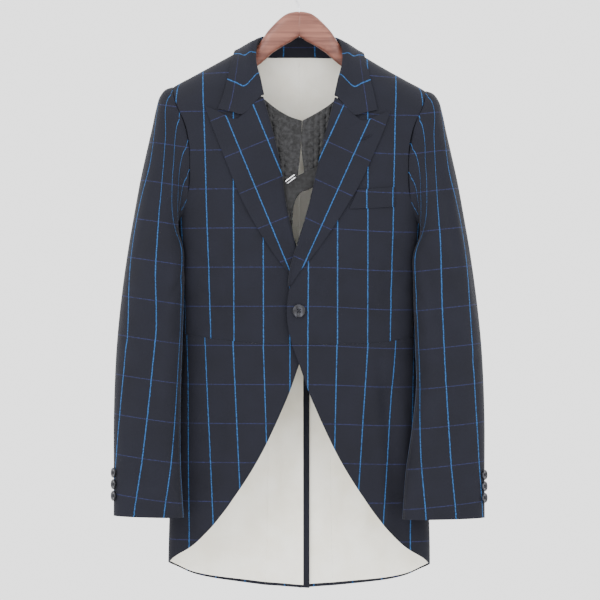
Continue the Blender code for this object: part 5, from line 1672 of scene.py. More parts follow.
CHECK_ACROSS = 45.7
CHECK_DOWN = 59.9
Colour: TypeAlias = tuple[float, float, float, float]


class Finisher:
    """Starts a material and gives its graph, its shader and the coordinates that it reads."""

    def __init__(self, name: str, shader: dict[str, Any]) -> None:
        """Makes the material.

        Args:
            name: Its name.
            shader: Constants for the Principled shader's sockets.
        """
        self.material = bpy.data.materials.new(name)
        self.material.use_nodes = True
        tree = self.material.node_tree
        self.graph = Graph(tree)
        self.shader = tree.nodes["Principled BSDF"]
        self.shader.location = (1700.0, 0.0)
        tree.nodes["Material Output"].location = (2000.0, 0.0)
        for socket, value in shader.items():
            self.shader.inputs[socket].default_value = value
        self.place = self.graph.add("ShaderNodeTexCoord").outputs["Object"]
        self.pattern = self.graph.add("ShaderNodeUVMap", uv_map="Check").outputs[0]

    def feed(self, socket: str, value: Value) -> None:
        """Links a value to a socket of the shader."""
        self.graph.tree.links.new(value, self.shader.inputs[socket])

    def bump(self, height: Value, distance: float, strength: float = 1.0) -> None:
        """Raises the surface by a height, over a distance in metres."""
        given = {"Height": height, "Distance": distance, "Strength": strength}
        self.feed("Normal", self.graph.add("ShaderNodeBump", given).outputs[0])

    def group(self, tree: Tree, given: dict[str, Any]) -> bpy.types.Node:
        """Places a shared effect."""
        return self.graph.add("ShaderNodeGroup", given, node_tree=tree)


@dataclass(frozen=True)
class Wool:
    """Dark navy suiting with a windowpane check of bright upright and dull cross lines."""

    ground: Colour = (0.0052, 0.0056, 0.0098, 1.0)
    light_ground: Colour = (0.0118, 0.0124, 0.0192, 1.0)
    upright: Colour = (0.018, 0.105, 0.29, 1.0)
    cross: Colour = (0.026, 0.032, 0.105, 1.0)

    def make(self, name: str, windowpane: Tree, twill: Tree, check: bool) -> Material:
        """The material of the wool.

        Args:
            name: Its name.
            windowpane: The check's effect.
            twill: The weave's effect.
            check: Whether the check shows on it.

        Returns:
            The material.
        """
        sheen = {"Roughness": 0.82, "Sheen Weight": 0.05, "Sheen Roughness": 0.4, "Specular IOR Level": 0.16}
        made = Finisher(name, sheen)
        graph = made.graph
        weave = made.group(twill, {"Pattern": made.pattern, "Place": made.place, "Rib": 0.0012, "Slant": 0.8})
        mottle = graph.math("MULTIPLY", weave.outputs["Mottle"], 0.45)
        tone = graph.math("MULTIPLY_ADD", weave.outputs["Fibre"], 0.55, mottle)
        colour = graph.mix(graph.band(tone, 0.3, 0.7, 0.0, 1.0), self.ground, self.light_ground)
        if check:
            lines = made.group(windowpane, {"Pattern": made.pattern})
            cross = graph.math("MULTIPLY", lines.outputs["Cross"], 0.7)
            colour = graph.mix(cross, colour, self.cross)
            colour = graph.mix(lines.outputs["Upright"], colour, self.upright)
        made.feed("Base Color", colour)
        made.feed("Roughness", graph.band(weave.outputs["Mottle"], 0.2, 0.8, 0.74, 0.9))
        made.bump(weave.outputs["Height"], 0.00022, 0.55)
        return made.material


@dataclass(frozen=True)
class LiningCloth:
    """Cream lining with a fine plain weave, small puckers and a soft shine."""

    light: Colour = (0.9, 0.88, 0.8, 1.0)
    shade: Colour = (0.82, 0.785, 0.68, 1.0)

    def make(self, twill: Tree) -> Material:
        """The material of the lining."""
        made = Finisher("Cream lining", {"Roughness": 0.52, "Sheen Weight": 0.1, "Specular IOR Level": 0.4})
        graph = made.graph
        rib = {"Rib": 0.0006, "Slant": 0.35}
        weave = made.group(twill, {"Pattern": made.pattern, "Place": made.place} | rib)
        colour = graph.mix(graph.band(weave.outputs["Mottle"], 0.32, 0.72, 0.0, 1.0), self.light, self.shade)
        made.feed("Base Color", colour)
        pucker = graph.noise(graph.stretch(made.place, (60.0, 60.0, 11.0)), 1.0, 4.0)
        made.feed("Roughness", graph.band(pucker, 0.3, 0.7, 0.44, 0.62))
        fine = graph.math("MULTIPLY", weave.outputs["Height"], 0.05)
        made.bump(graph.math("ADD", pucker, fine), 0.0022, 0.6)
        return made.material


@dataclass(frozen=True)
class Leather:
    """Black leather, glossy on its raised scales and creased between them."""

    black: Colour = (0.006, 0.006, 0.0065, 1.0)
    worn: Colour = (0.021, 0.021, 0.023, 1.0)

    def make(self, name: str, roughness: float) -> Material:
        """The material of the leather.

        Args:
            name: Its name.
            roughness: How dull it is.

        Returns:
            The material.
        """
        made = Finisher(name, {"Specular IOR Level": 0.22})
        graph = made.graph
        scales = {"Vector": made.place, "Scale": 900.0}
        cells = graph.add("ShaderNodeTexVoronoi", scales, feature="DISTANCE_TO_EDGE")
        crease = graph.band(cells.outputs[0], 0.0, 0.12, 0.0, 1.0)
        soft = graph.noise(made.place, 160.0, 4.0)
        made.feed("Base Color", graph.mix(graph.band(soft, 0.35, 0.7, 0.0, 1.0), self.black, self.worn))
        made.feed("Roughness", graph.band(soft, 0.3, 0.75, roughness, roughness + 0.16))
        made.bump(graph.math("MULTIPLY_ADD", soft, 0.6, graph.math("MULTIPLY", crease, 0.4)), 0.00025, 0.7)
        return made.material


@dataclass(frozen=True)
class Horn:
    """Dark horn with faint cloudy streaks under a polish."""

    dark: Colour = (0.009, 0.009, 0.012, 1.0)
    streak: Colour = (0.045, 0.046, 0.058, 1.0)

    def make(self) -> Material:
        """The material of the buttons."""
        made = Finisher("Dark horn", {"Specular IOR Level": 0.3})
        graph = made.graph
        streaks = graph.noise(graph.stretch(made.place, (240.0, 240.0, 70.0)), 1.0, 4.0)
        made.feed("Base Color", graph.mix(graph.band(streaks, 0.42, 0.72, 0.0, 1.0), self.dark, self.streak))
        made.feed("Roughness", graph.band(streaks, 0.3, 0.7, 0.22, 0.36))
        made.bump(streaks, 0.0001, 0.4)
        return made.material


@dataclass(frozen=True)
class Wood:
    """Reddish brown varnished wood with long grain."""

    light: Colour = (0.235, 0.09, 0.062, 1.0)
    dark: Colour = (0.11, 0.037, 0.026, 1.0)

    def make(self, grain: Tree) -> Material:
        """The material of the hanger."""
        varnish = {"Coat Weight": 0.1, "Coat Roughness": 0.2, "Specular IOR Level": 0.35}
        made = Finisher("Varnished wood", varnish)
        graph = made.graph
        figure = made.group(grain, {"Place": made.place})
        tone = graph.band(figure.outputs["Figure"], 0.32, 0.66, 0.0, 1.0)
        made.feed("Base Color", graph.mix(tone, self.light, self.dark))
        made.feed("Roughness", graph.band(figure.outputs["Pores"], 0.3, 0.7, 0.34, 0.5))
        made.bump(figure.outputs["Pores"], 0.00015, 0.5)
        return made.material


@dataclass(frozen=True)
class Steel:
    """Bright plated steel with hair scratches."""

    bright: Colour = (0.83, 0.83, 0.85, 1.0)
    dull: Colour = (0.6, 0.6, 0.62, 1.0)

    def make(self, grain: Tree) -> Material:
        """The material of the hook and the buckle."""
        made = Finisher("Bright steel", {"Metallic": 1.0})
        graph = made.graph
        figure = made.group(grain, {"Place": made.place, "Along": 60.0, "Fine": 1400.0})
        tone = graph.band(figure.outputs["Figure"], 0.4, 0.7, 0.0, 1.0)
        made.feed("Base Color", graph.mix(tone, self.bright, self.dull))
        made.feed("Roughness", graph.band(figure.outputs["Pores"], 0.3, 0.7, 0.12, 0.26))
        made.bump(figure.outputs["Pores"], 0.00003, 0.3)
        return made.material


@dataclass
class Finishes:
    """Every finish of the coat, made once."""

    wool: Material
    plain_wool: Material
    lining: Material
    scales: Material
    strap: Material
    horn: Material
    wood: Material
    steel: Material

    @classmethod
    def make(cls) -> "Finishes":
        """Builds the shared effects, then each material."""
        windowpane = windowpane_effect()
        twill = weave_effect()
        grain = grain_effect()
        cloth_finish = Wool()
        leather = Leather()
        return cls(
            cloth_finish.make("Windowpane wool", windowpane, twill, True),
            cloth_finish.make("Plain navy wool", windowpane, twill, False),
            LiningCloth().make(twill),
            leather.make("Embossed leather", 0.2),
            leather.make("Strap leather", 0.34),
            Horn().make(),
            Wood().make(grain),
            Steel().make(grain),
        )


class Pixel(NamedTuple):
    """A place in the photograph's frame of 600 by 600."""

    x: float
    y: float


class CheckLine(NamedTuple):
    """An upright line of the check, where it starts and ends on a panel."""

    side: str
    top_x: float
    bottom_x: float


FRONT_LINES = (
    CheckLine("right", 14.3, 14.3), CheckLine("right", 55.3, 54.5), CheckLine("right", 101.0, 100.0),
    CheckLine("right", 147.6, 135.2), CheckLine("left", 16.1, 13.2), CheckLine("left", 58.6, 58.6),
    CheckLine("left", 105.1, 105.1), CheckLine("left", 148.5, 139.2),
)
SKIRT_LINES = (
    CheckLine("right", 14.3, 14.3), CheckLine("right", 54.2, 46.0), CheckLine("right", 100.5, 88.6),
    CheckLine("right", 144.0, 132.4), CheckLine("right", 173.0, 170.0), CheckLine("left", 13.2, 13.2),
    CheckLine("left", 57.3, 52.0), CheckLine("left", 104.0, 88.0), CheckLine("left", 146.5, 129.5),
    CheckLine("left", 177.0, 171.5),
)
FRONT_LINE_DROPS = (200.0, 575.0)
SKIRT_LINE_DROPS = (600.0, 850.0)
FIRST_CROSS_LINE = 163.4
PHOTO_CENTRE = Pixel(299.2, 11.5)
PHOTO_TOP_DROP = 66.0
PHOTO_SCALE = 1.55


def to_photo(side: str, x: Array, drop: Array) -> tuple[Array, Array]:
    """Where own-side distances and drops fall in the photograph's frame."""
    across = PHOTO_CENTRE.x + SIDES[side] * x / PHOTO_SCALE
    return across, PHOTO_CENTRE.y + (drop - PHOTO_TOP_DROP) / PHOTO_SCALE


def girth(angle: Array, drop: Array, back: bool = False) -> Array:
    """The length round the body from the centre: the sum of 24 short chords.

    Args:
        angle: Angles round it.
        drop: Drops.
        back: Whether the length starts at the centre back.

    Returns:
        Lengths in millimetres, below 0 past the centre.
    """
    share = np.linspace(0.0, 1.0, 25)
    turn = math.pi - angle if back else angle
    swept = turn[..., None] * share
    points = body_base(math.pi - swept if back else swept, drop[..., None] + 0.0 * share)
    return np.sign(turn) * np.linalg.norm(np.diff(points, axis=-2), axis=-1).sum(axis=-1)


def body_check(side: str, grid: Array, lines: tuple[CheckLine, ...], drops: tuple[float, float]) -> Array:
    """The check over the front and sides: whole numbers fall on the given upright lines.

    Args:
        side: Left or right.
        grid: A grid of angle and drop pairs.
        lines: The upright lines.
        drops: The drops at which they start and end.

    Returns:
        Pattern places in metres.
    """
    angle = grid[..., 0]
    drop = grid[..., 1]
    down = np.clip((drop - drops[0]) / (drops[1] - drops[0]), -0.2, 1.1)
    reach = girth(angle, drop)
    own = [line for line in lines if line.side == side]
    places = []
    for line in own:
        x = line.top_x + (line.bottom_x - line.top_x) * down
        places.append(girth(angle_at(x, drop), drop))
    number = (reach - places[0]) / CHECK_ACROSS
    for k, (near, far) in enumerate(zip(places[:-1], places[1:])):
        number = np.where(reach > near, k + (reach - near) / (far - near), number)
    number = np.where(reach > places[-1], len(own) - 1 + (reach - places[-1]) / CHECK_ACROSS, number)
    cross = (drop - FIRST_CROSS_LINE) / CHECK_DOWN
    return np.stack([number * CHECK_ACROSS, cross * CHECK_DOWN], axis=-1) * MM


def back_check(grid: Array) -> Array:
    """The check over the back: half a repeat lies on each side of the centre seam."""
    across = girth(grid[..., 0], grid[..., 1], back=True) + CHECK_ACROSS / 2.0
    return np.stack([across, grid[..., 1] - FIRST_CROSS_LINE], axis=-1) * MM


def ruled(first: Array, second: Array, steps: int) -> Array:
    """Straight lines between two facing paths, as a grid."""
    share = np.linspace(0.0, 1.0, steps + 1)[:, None, None]
    return (1.0 - share) * first[None] + share * second[None]


def as_angles(spots: Array, back: bool = False) -> Array:
    """A grid of x and drop as a grid of angle and drop."""
    return np.stack([angle_at(spots[..., 0], spots[..., 1], back), spots[..., 1]], axis=-1)


@dataclass
class BodyPanels:
    """The fronts, side bodies, backs with tails, skirts, their lining, the vent's edge and the welt."""

    finishes: Finishes
    wool: float = WOOL
    lining: float = LINING
    layer_gap: float = LAYER_GAP
    welt_thickness: float = 1.4

    def panel(
        self, name: str, side: str, grid: Array, lift: float, thickness: float,
        sewn: str, check: Any, slot: str,
    ) -> None:
        """Makes one cut piece: its grid read finely, moved out by lift, with sunk seams.

        Args:
            name: The node that it stands for.
            side: Left or right.
            grid: Its coarse grid of angle and drop.
            lift: How far out its face lies.
            thickness: Its wall.
            sewn: Its sewn edges.
            check: A function that lays the pattern on the grid.
            slot: Which finish it takes, wool_check or lining.
        """
        plan = Weave.over(body_base(grid[..., 0], grid[..., 1]))
        fine = plan.read(grid)
        relief = plan.relief(sewn)
        outer = cloth(side, fine, lift - relief)
        inner = cloth(side, fine, lift - thickness)
        finish = {"wool_check": self.finishes.wool, "lining": self.finishes.lining}[slot]
        if name == "vent_facing":
            finish = self.finishes.plain_wool
        outer, inner = trimmed(outer, inner)
        Shell(f"{name}_cloth", side, outer, inner, check(fine), plan.edge(), slot, name).make(finish)

    def build(self) -> None:
        """Makes every panel on both sides."""
        behind = -(self.wool + self.layer_gap)
        skirt = skirt_grid()
        for side in SIDES:

            def front_check(grid: Array, side: str = side) -> Array:
                """The fronts' check."""
                return body_check(side, grid, FRONT_LINES, FRONT_LINE_DROPS)

            def skirt_check(grid: Array, side: str = side) -> Array:
                """The skirts' check."""
                return body_check(side, grid, SKIRT_LINES, SKIRT_LINE_DROPS)

            wool = self.wool
            self.panel(f"front_{side}", side, front_grid(side), 0.0, wool, "TBE", front_check, "wool_check")
            grid = side_body_grid()
            self.panel(f"side_body_{side}", side, grid, 0.0, wool, "TBSE", front_check, "wool_check")
            self.panel(f"back_{side}", side, back_grid(side), 0.0, wool, "TSE", back_check, "wool_check")
            self.panel(f"skirt_{side}", side, skirt, 0.0, wool, "TE", skirt_check, "wool_check")
            facing = VENT_FACING_WIDTH if side == "right" else 0.0
            lift = behind - (self.layer_gap if facing else 0.0)
            lined = self.short_of_hem(back_grid(side, facing), 0.0)
            self.panel(f"lining_back_{side}", side, lined, lift, self.lining, "SE", back_check, "lining")
            lined = self.short_of_hem(skirt, CUTAWAY_TURN)
            self.panel(f"lining_skirt_{side}", side, lined, behind, self.lining, "TE", skirt_check, "lining")
        self.vent_facing(behind)
        self.welt()

    def short_of_hem(self, grid: Array, edge: float) -> Array:
        """The grid of a lining, which ends short of the wool's hem and cutaway edge.

        Args:
            grid: The wool's coarse grid.
            edge: How far in the cutaway edge is turned, or 0.

        Returns:
            The lining's grid.
        """
        grid = grid.copy()
        hem, above = (body(grid[k, :, 0], grid[k, :, 1]) for k in (-1, -2))
        share = np.minimum(HEM_TURN_UP / np.linalg.norm(above - hem, axis=1), TURNING_REACH)[:, None]
        grid[-1] += (grid[-2] - grid[-1]) * share
        if edge:
            rim, beside = (body(grid[:, k, 0], grid[:, k, 1]) for k in (0, 1))
            share = np.minimum(edge / np.linalg.norm(beside - rim, axis=1), TURNING_REACH)[:, None]
            grid[:, 0] += (grid[:, 1] - grid[:, 0]) * share
        return grid

    def vent_facing(self, lift: float) -> None:
        """The plain edge of the vent's underlap."""
        drops = np.linspace(VENT_FACING_TOP, VENT_FACING_BOTTOM, TAIL_ROWS + 1)
        x, drop = np.meshgrid(-UNDERLAP + VENT_FACING_WIDTH * np.array([0.0, 0.5, 1.0]), drops)
        grid = as_angles(np.stack([x, drop], axis=-1), back=True)
        self.panel("vent_facing", "right", grid, lift, self.lining, "", back_check, "wool_check")

    def welt(self) -> None:
        """The breast pocket's welt, with its check set a little off the front's."""
        spots = ruled(along(WELT_TOP, 5), along(WELT_BOTTOM, 5), 2)

        def welt_check(grid: Array) -> Array:
            """The welt's check."""
            return body_check("left", grid, FRONT_LINES, FRONT_LINE_DROPS) + (0.002, 0.0)

        lift = self.layer_gap + self.welt_thickness
        wall = self.welt_thickness
        self.panel("breast_welt", "left", as_angles(spots), lift, wall, "BSE", welt_check, "wool_check")


class PatternTurn(NamedTuple):
    """How the check lies on a lapel: a crossing of two lines, and the upright line's direction."""

    side: str
    crossing: Pixel
    cross_line: Pixel
    along_x: float
    along_y: float
    across_x: float
    across_y: float


@dataclass
class Lapels:
    """Both peaked lapels, and the buttonhole in the left one."""

    finishes: Finishes
    upright_pixels: float = 29.0
    cross_pixels: float = 38.8
    turns: tuple[PatternTurn, ...] = (
        PatternTurn("right", Pixel(226.4, 117.0), Pixel(226.4, 117.0), 0.381, 0.924, 0.924, -0.381),
        PatternTurn("left", Pixel(370.1, 118.6), Pixel(369.3, 120.3), -0.4116, 0.911, 0.911, 0.4116),
    )
    buttonhole: tuple[Pixel, Pixel] = (Pixel(360.0, 142.4), Pixel(370.8, 136.1))
    buttonhole_half_width: float = 1.0
    thread: float = 0.45
    thread_lift: float = 0.25
    folded_under: float = 12.0

    def layout(self, side: str) -> tuple[Array, Array, Array]:
        """The coarse lapel: places on the coat, and how far out both faces lie there.

        Args:
            side: Left or right.

        Returns:
            A grid of x and drop, the outer face's lifts and the inner face's.
        """
        rows = LAPEL_ROWS
        columns = LAPEL_COLUMNS
        roll = along(ROLL[side], rows)
        edge = along(LAPEL_EDGE[side], rows)
        gorge = np.array([ROLL[side][0], GORGE_END[side], NOTCH[side], PEAK[side]], float)
        gorge += (0.0, 2.0 * SEAM_GAP)
        gorge[0, 0] += LAPEL_LIP
        top = along(gorge, columns, straight=True)
        top[columns // 2] = gorge[1]
        top[columns // 2 + 1] = gorge[2]
        start = roll + (LAPEL_LIP, 0.0)
        start[0] = top[0]
        share = np.linspace(0.0, 1.0, columns + 1)[:, None]
        bottom = (1.0 - share) * start[-1] + share * edge[-1]
        spots = patch(start, edge, top, bottom)
        u = np.linspace(0.0, 1.0, columns + 1)[None, :]
        bow = np.sin(np.pi * np.minimum(u * LAPEL_CROWN_REACH, 1.0))
        crown = LAPEL_LIFT + LAPEL_CROWN * bow - LAPEL_EDGE_FALL * u
        pressed = ease(roll[:, 1:], *LAPEL_PRESSED)
        crown = crown + (LAPEL_CLOTH + LAYER_GAP - crown) * pressed
        behind = -(WOOL + 2.0 * LAYER_GAP + LAPEL_CLOTH)
        reach = (9.0, 3.0, 0.2, 1.6)
        wrap = np.stack([start + (away - LAPEL_LIP, 0.0) for away in reach], axis=1)
        lips = []
        for lifts, sink in (
            ((behind, behind, -0.8, 2.4), 0.0),
            ((behind + LAPEL_CLOTH, behind + LAPEL_CLOTH, -0.7, 1.3), LAPEL_CLOTH),
        ):
            wrap_lift = np.array([lifts]) + np.zeros((rows + 1, 1))
            lips.append(np.concatenate([wrap_lift, crown[:, 1:] - sink], axis=1))
        return np.concatenate([wrap, spots[:, 1:]], axis=1), lips[0], lips[1]

    def faces(self, side: str) -> tuple[Array, Array, Weave]:
        """Both faces of a lapel, read finely, and the plan of their lines."""
        spots, outer_lift, inner_lift = self.layout(side)
        shift = np.zeros_like(spots)
        shift[:, 2:4, 0] = (1.7, 1.0)
        faces = []
        plan = Weave.over(cloth(side, as_angles(spots), outer_lift), least=2)
        for lift, moved in ((outer_lift, spots), (inner_lift, spots + shift)):
            coarse = cloth(side, as_angles(moved), lift)
            faces.append(plan.read(coarse))
        return faces[0], faces[1], plan

    def check(self, turn: PatternTurn, points: Array) -> Array:
        drop = -settle(points * (SIDES[turn.side], 1.0, 1.0))[..., 2]
        x, y = to_photo(turn.side, points[..., 0], drop)
        across = (x - turn.crossing.x) * turn.across_x + (y - turn.crossing.y) * turn.across_y
        down = (x - turn.cross_line.x) * turn.along_x + (y - turn.cross_line.y) * turn.along_y
        numbers = np.stack([across / self.upright_pixels, down / self.cross_pixels], axis=-1)
        return numbers * (CHECK_ACROSS, CHECK_DOWN) * MM

    def build(self) -> None:
        """Makes both lapels, then the buttonhole."""
        for turn in self.turns:
            outer, inner, plan = self.faces(turn.side)
            outer, inner = trimmed(outer, inner, "T")
            name = f"lapel_{turn.side}"
            check = self.check(turn, outer)
            rests_on = (f"front_{turn.side}",)
            faces = (outer, inner, check, plan.edge())
            Shell(f"{name}_cloth", turn.side, *faces, "wool_check", name, rests_on).make(self.finishes.wool)
            if turn.side == "left":
                self.worked_buttonhole(outer)

    def worked_buttonhole(self, face: Array) -> None:
        """A closed ring of thread laid on the lapel, round at both ends."""
        ends = np.array(self.buttonhole, float)
        half = (ends[1] - ends[0]) / 2.0
        long_way = unit(half)
        wide_way = np.array([-long_way[1], long_way[0]]) * self.buttonhole_half_width / PHOTO_SCALE
        turn = np.linspace(0.0, 2.0 * math.pi, 41)[:-1, None]
        ring = ends.mean(axis=0) + half * np.cos(turn) + wide_way * np.sin(turn)
        x = (ring[:, 0] - PHOTO_CENTRE.x) * PHOTO_SCALE
        drop = (ring[:, 1] - PHOTO_CENTRE.y) * PHOTO_SCALE + PHOTO_TOP_DROP
        flat = settle(face.reshape(-1, 3))
        apart = (flat[None, :, 0] - x[:, None]) ** 2 + (flat[None, :, 2] + drop[:, None]) ** 2
        apart += np.where(flat[:, 1] > np.median(flat[:, 1]) + self.folded_under, 1e6, 0.0)[None]
        on_face = flat[np.argmin(apart, axis=1), 1]
        path = np.stack([x, np.full_like(x, on_face.min() - self.thread_lift), -drop], axis=1)
        item = tube("lapel_buttonhole", path, self.thread, 8, self.finishes.plain_wool, cyclic=True)


def tube(
    name: str, path: Array, radius: float, sides: int, finish: Material, cyclic: bool = False
) -> Piece:
    """A round tube: a circle carried along a path, square to it at each point.

    Args:
        name: The piece's name.
        path: The points that it follows, in millimetres.
        radius: Its radius.
        sides: How many sides it has.
        finish: Its material.
        cyclic: Whether it closes on itself.

    Returns:
        The piece.
    """
    if cyclic:
        tangent = np.roll(path, -1, axis=0) - np.roll(path, 1, axis=0)
    else:
        tangent = np.gradient(path, axis=0)
    tangent = unit(tangent)
    spread = path - path.mean(axis=0)
    plane = np.linalg.svd(spread, full_matrices=False)[2][2]
    first = unit(np.cross(tangent, plane))
    second = np.cross(tangent, first)
    turn = np.linspace(0.0, 2.0 * math.pi, sides + 1)[:-1, None]
    rings = path[:, None] + radius * (np.cos(turn) * first[:, None] + np.sin(turn) * second[:, None])
    return lofted(name, rings, finish, cyclic)


def lofted(name: str, rings: Array, finish: Material, cyclic: bool = False) -> Piece:
    """A closed skin through rings of points, with its ends drawn to their middles.

    Args:
        name: The piece's name.
        rings: Rings of points, in millimetres.
        finish: Its material.
        cyclic: Whether the last ring meets the first.

    Returns:
        The piece.
    """
    if not cyclic:
        ends = (rings[0], rings[-1])
        inset = [END_INSET * ring.mean(axis=0) + (1.0 - END_INSET) * ring for ring in ends]
        rings = np.concatenate([inset[0][None], rings, inset[1][None]])
    sections, around = rings.shape[:2]
    index = np.arange(sections * around).reshape(sections, around)
    index = np.concatenate([index, index[:, :1]], axis=1)
    if cyclic:
        index = np.concatenate([index, index[:1]])
    quad = np.stack([index[:-1, :-1], index[:-1, 1:], index[1:, 1:], index[1:, :-1]], axis=-1).reshape(-1, 4)
    points = rings.reshape(-1, 3)
    faces = outward(points, quad)
    item = add_mesh(name, points, faces, finish)
    if not cyclic:
        fill_ends(item, (index[0, :-1], index[-1, :-1]))
    LOG.info("%s: %d rings of %d", name, sections, around)
    return item


def fill_ends(item: Piece, loops: tuple[Array, Array]) -> None:
    """Closes the open ends of a loft with one flat face each."""
    shape = bmesh.new()
    shape.from_mesh(item.data)
    shape.verts.ensure_lookup_table()
    for loop in loops:
        shape.faces.new([shape.verts[int(k)] for k in loop])
    bmesh.ops.recalc_face_normals(shape, faces=shape.faces)
    shape.to_mesh(item.data)
    shape.free()
    item.data.shade_smooth()
    item.data.set_sharp_from_angle(angle=SHARP_EDGE)


@dataclass
class Collar:
    """The collar's leaf and the stand inside it."""

    finishes: Finishes
    first_line: float = 0.9
    line_from_edge: float = 11.6

    def stand_faces(self) -> list[Array]:
        """Both coarse faces of half the stand, from under the fold to the neck seam."""
        fold, inward, upward = collar_frames()
        front = on_body(along(NECK_FRONT, 2))
        back = on_body(NECK_BACK, back=True)
        ridge_drop = float(shoulder_drop(NECK_RIDGE))
        ridge = body_base(angle_at(NECK_RIDGE, ridge_drop), ridge_drop)
        hidden_columns = 2
        faces = []
        for layer in (0.0, LAPEL_CLOTH):
            sink = STAND_DEPTH + layer
            radius = COLLAR_ROLL - LAPEL_CLOTH + layer
            front_seam = body(front[:, 0], front[:, 1], -sink)
            ridge_seam = ridge - (0.0, 0.0, sink + STAND_RIDGE_DEPTH)
            back_seam = body(back[:, 0], back[:, 1], -sink)
            seam = along(np.vstack([front_seam, ridge_seam, back_seam]), COLLAR_COLUMNS)
            head = fold + radius * inward - (COLLAR_LIP + SEAM_GAP) * upward
            faces.append(ruled(head, seam, 2)[:, hidden_columns:])
        return faces

    def check(self, plan: Weave) -> Array:
        """The check along the collar, the same from both front ends."""
        run = np.minimum(plan.across, plan.across[-1] - plan.across)[None, :] + 0.0 * plan.down[:, None]
        from_edge = (plan.down[-1] - plan.down)[:, None] + 0.0 * plan.across[None, :]
        numbers = self.first_line - run / CHECK_ACROSS
        return np.stack([numbers * CHECK_ACROSS, from_edge - self.line_from_edge], axis=-1) * MM

    def build(self) -> None:
        """Makes the leaf and the stand."""
        halves = {side: leaf_faces(side) for side in SIDES}
        leaf = [whole_collar(halves["right"][k], halves["left"][k]) for k in range(2)]
        stand = [whole_collar(face, face) for face in self.stand_faces()]
        for name, faces, edges, least in (("collar_leaf", leaf, "SE", 2), ("collar_stand", stand, "", 1)):
            plan = Weave.over(faces[0], least=least)
            outer, inner = (plan.read(face) for face in faces)
            if edges:
                outer, inner = trimmed(outer, inner, edges)
            check = self.check(plan)
            faces = (outer, inner, check, plan.edge())
            Shell(f"{name}_cloth", "left", *faces, "wool_check", name).make(self.finishes.wool)


class SleeveCrease(NamedTuple):
    """A soft fold drawn on a sleeve, from one angle and drop to another."""

    side: str
    angle0: float
    drop0: float
    angle1: float
    drop1: float
    width: float
    depth: float


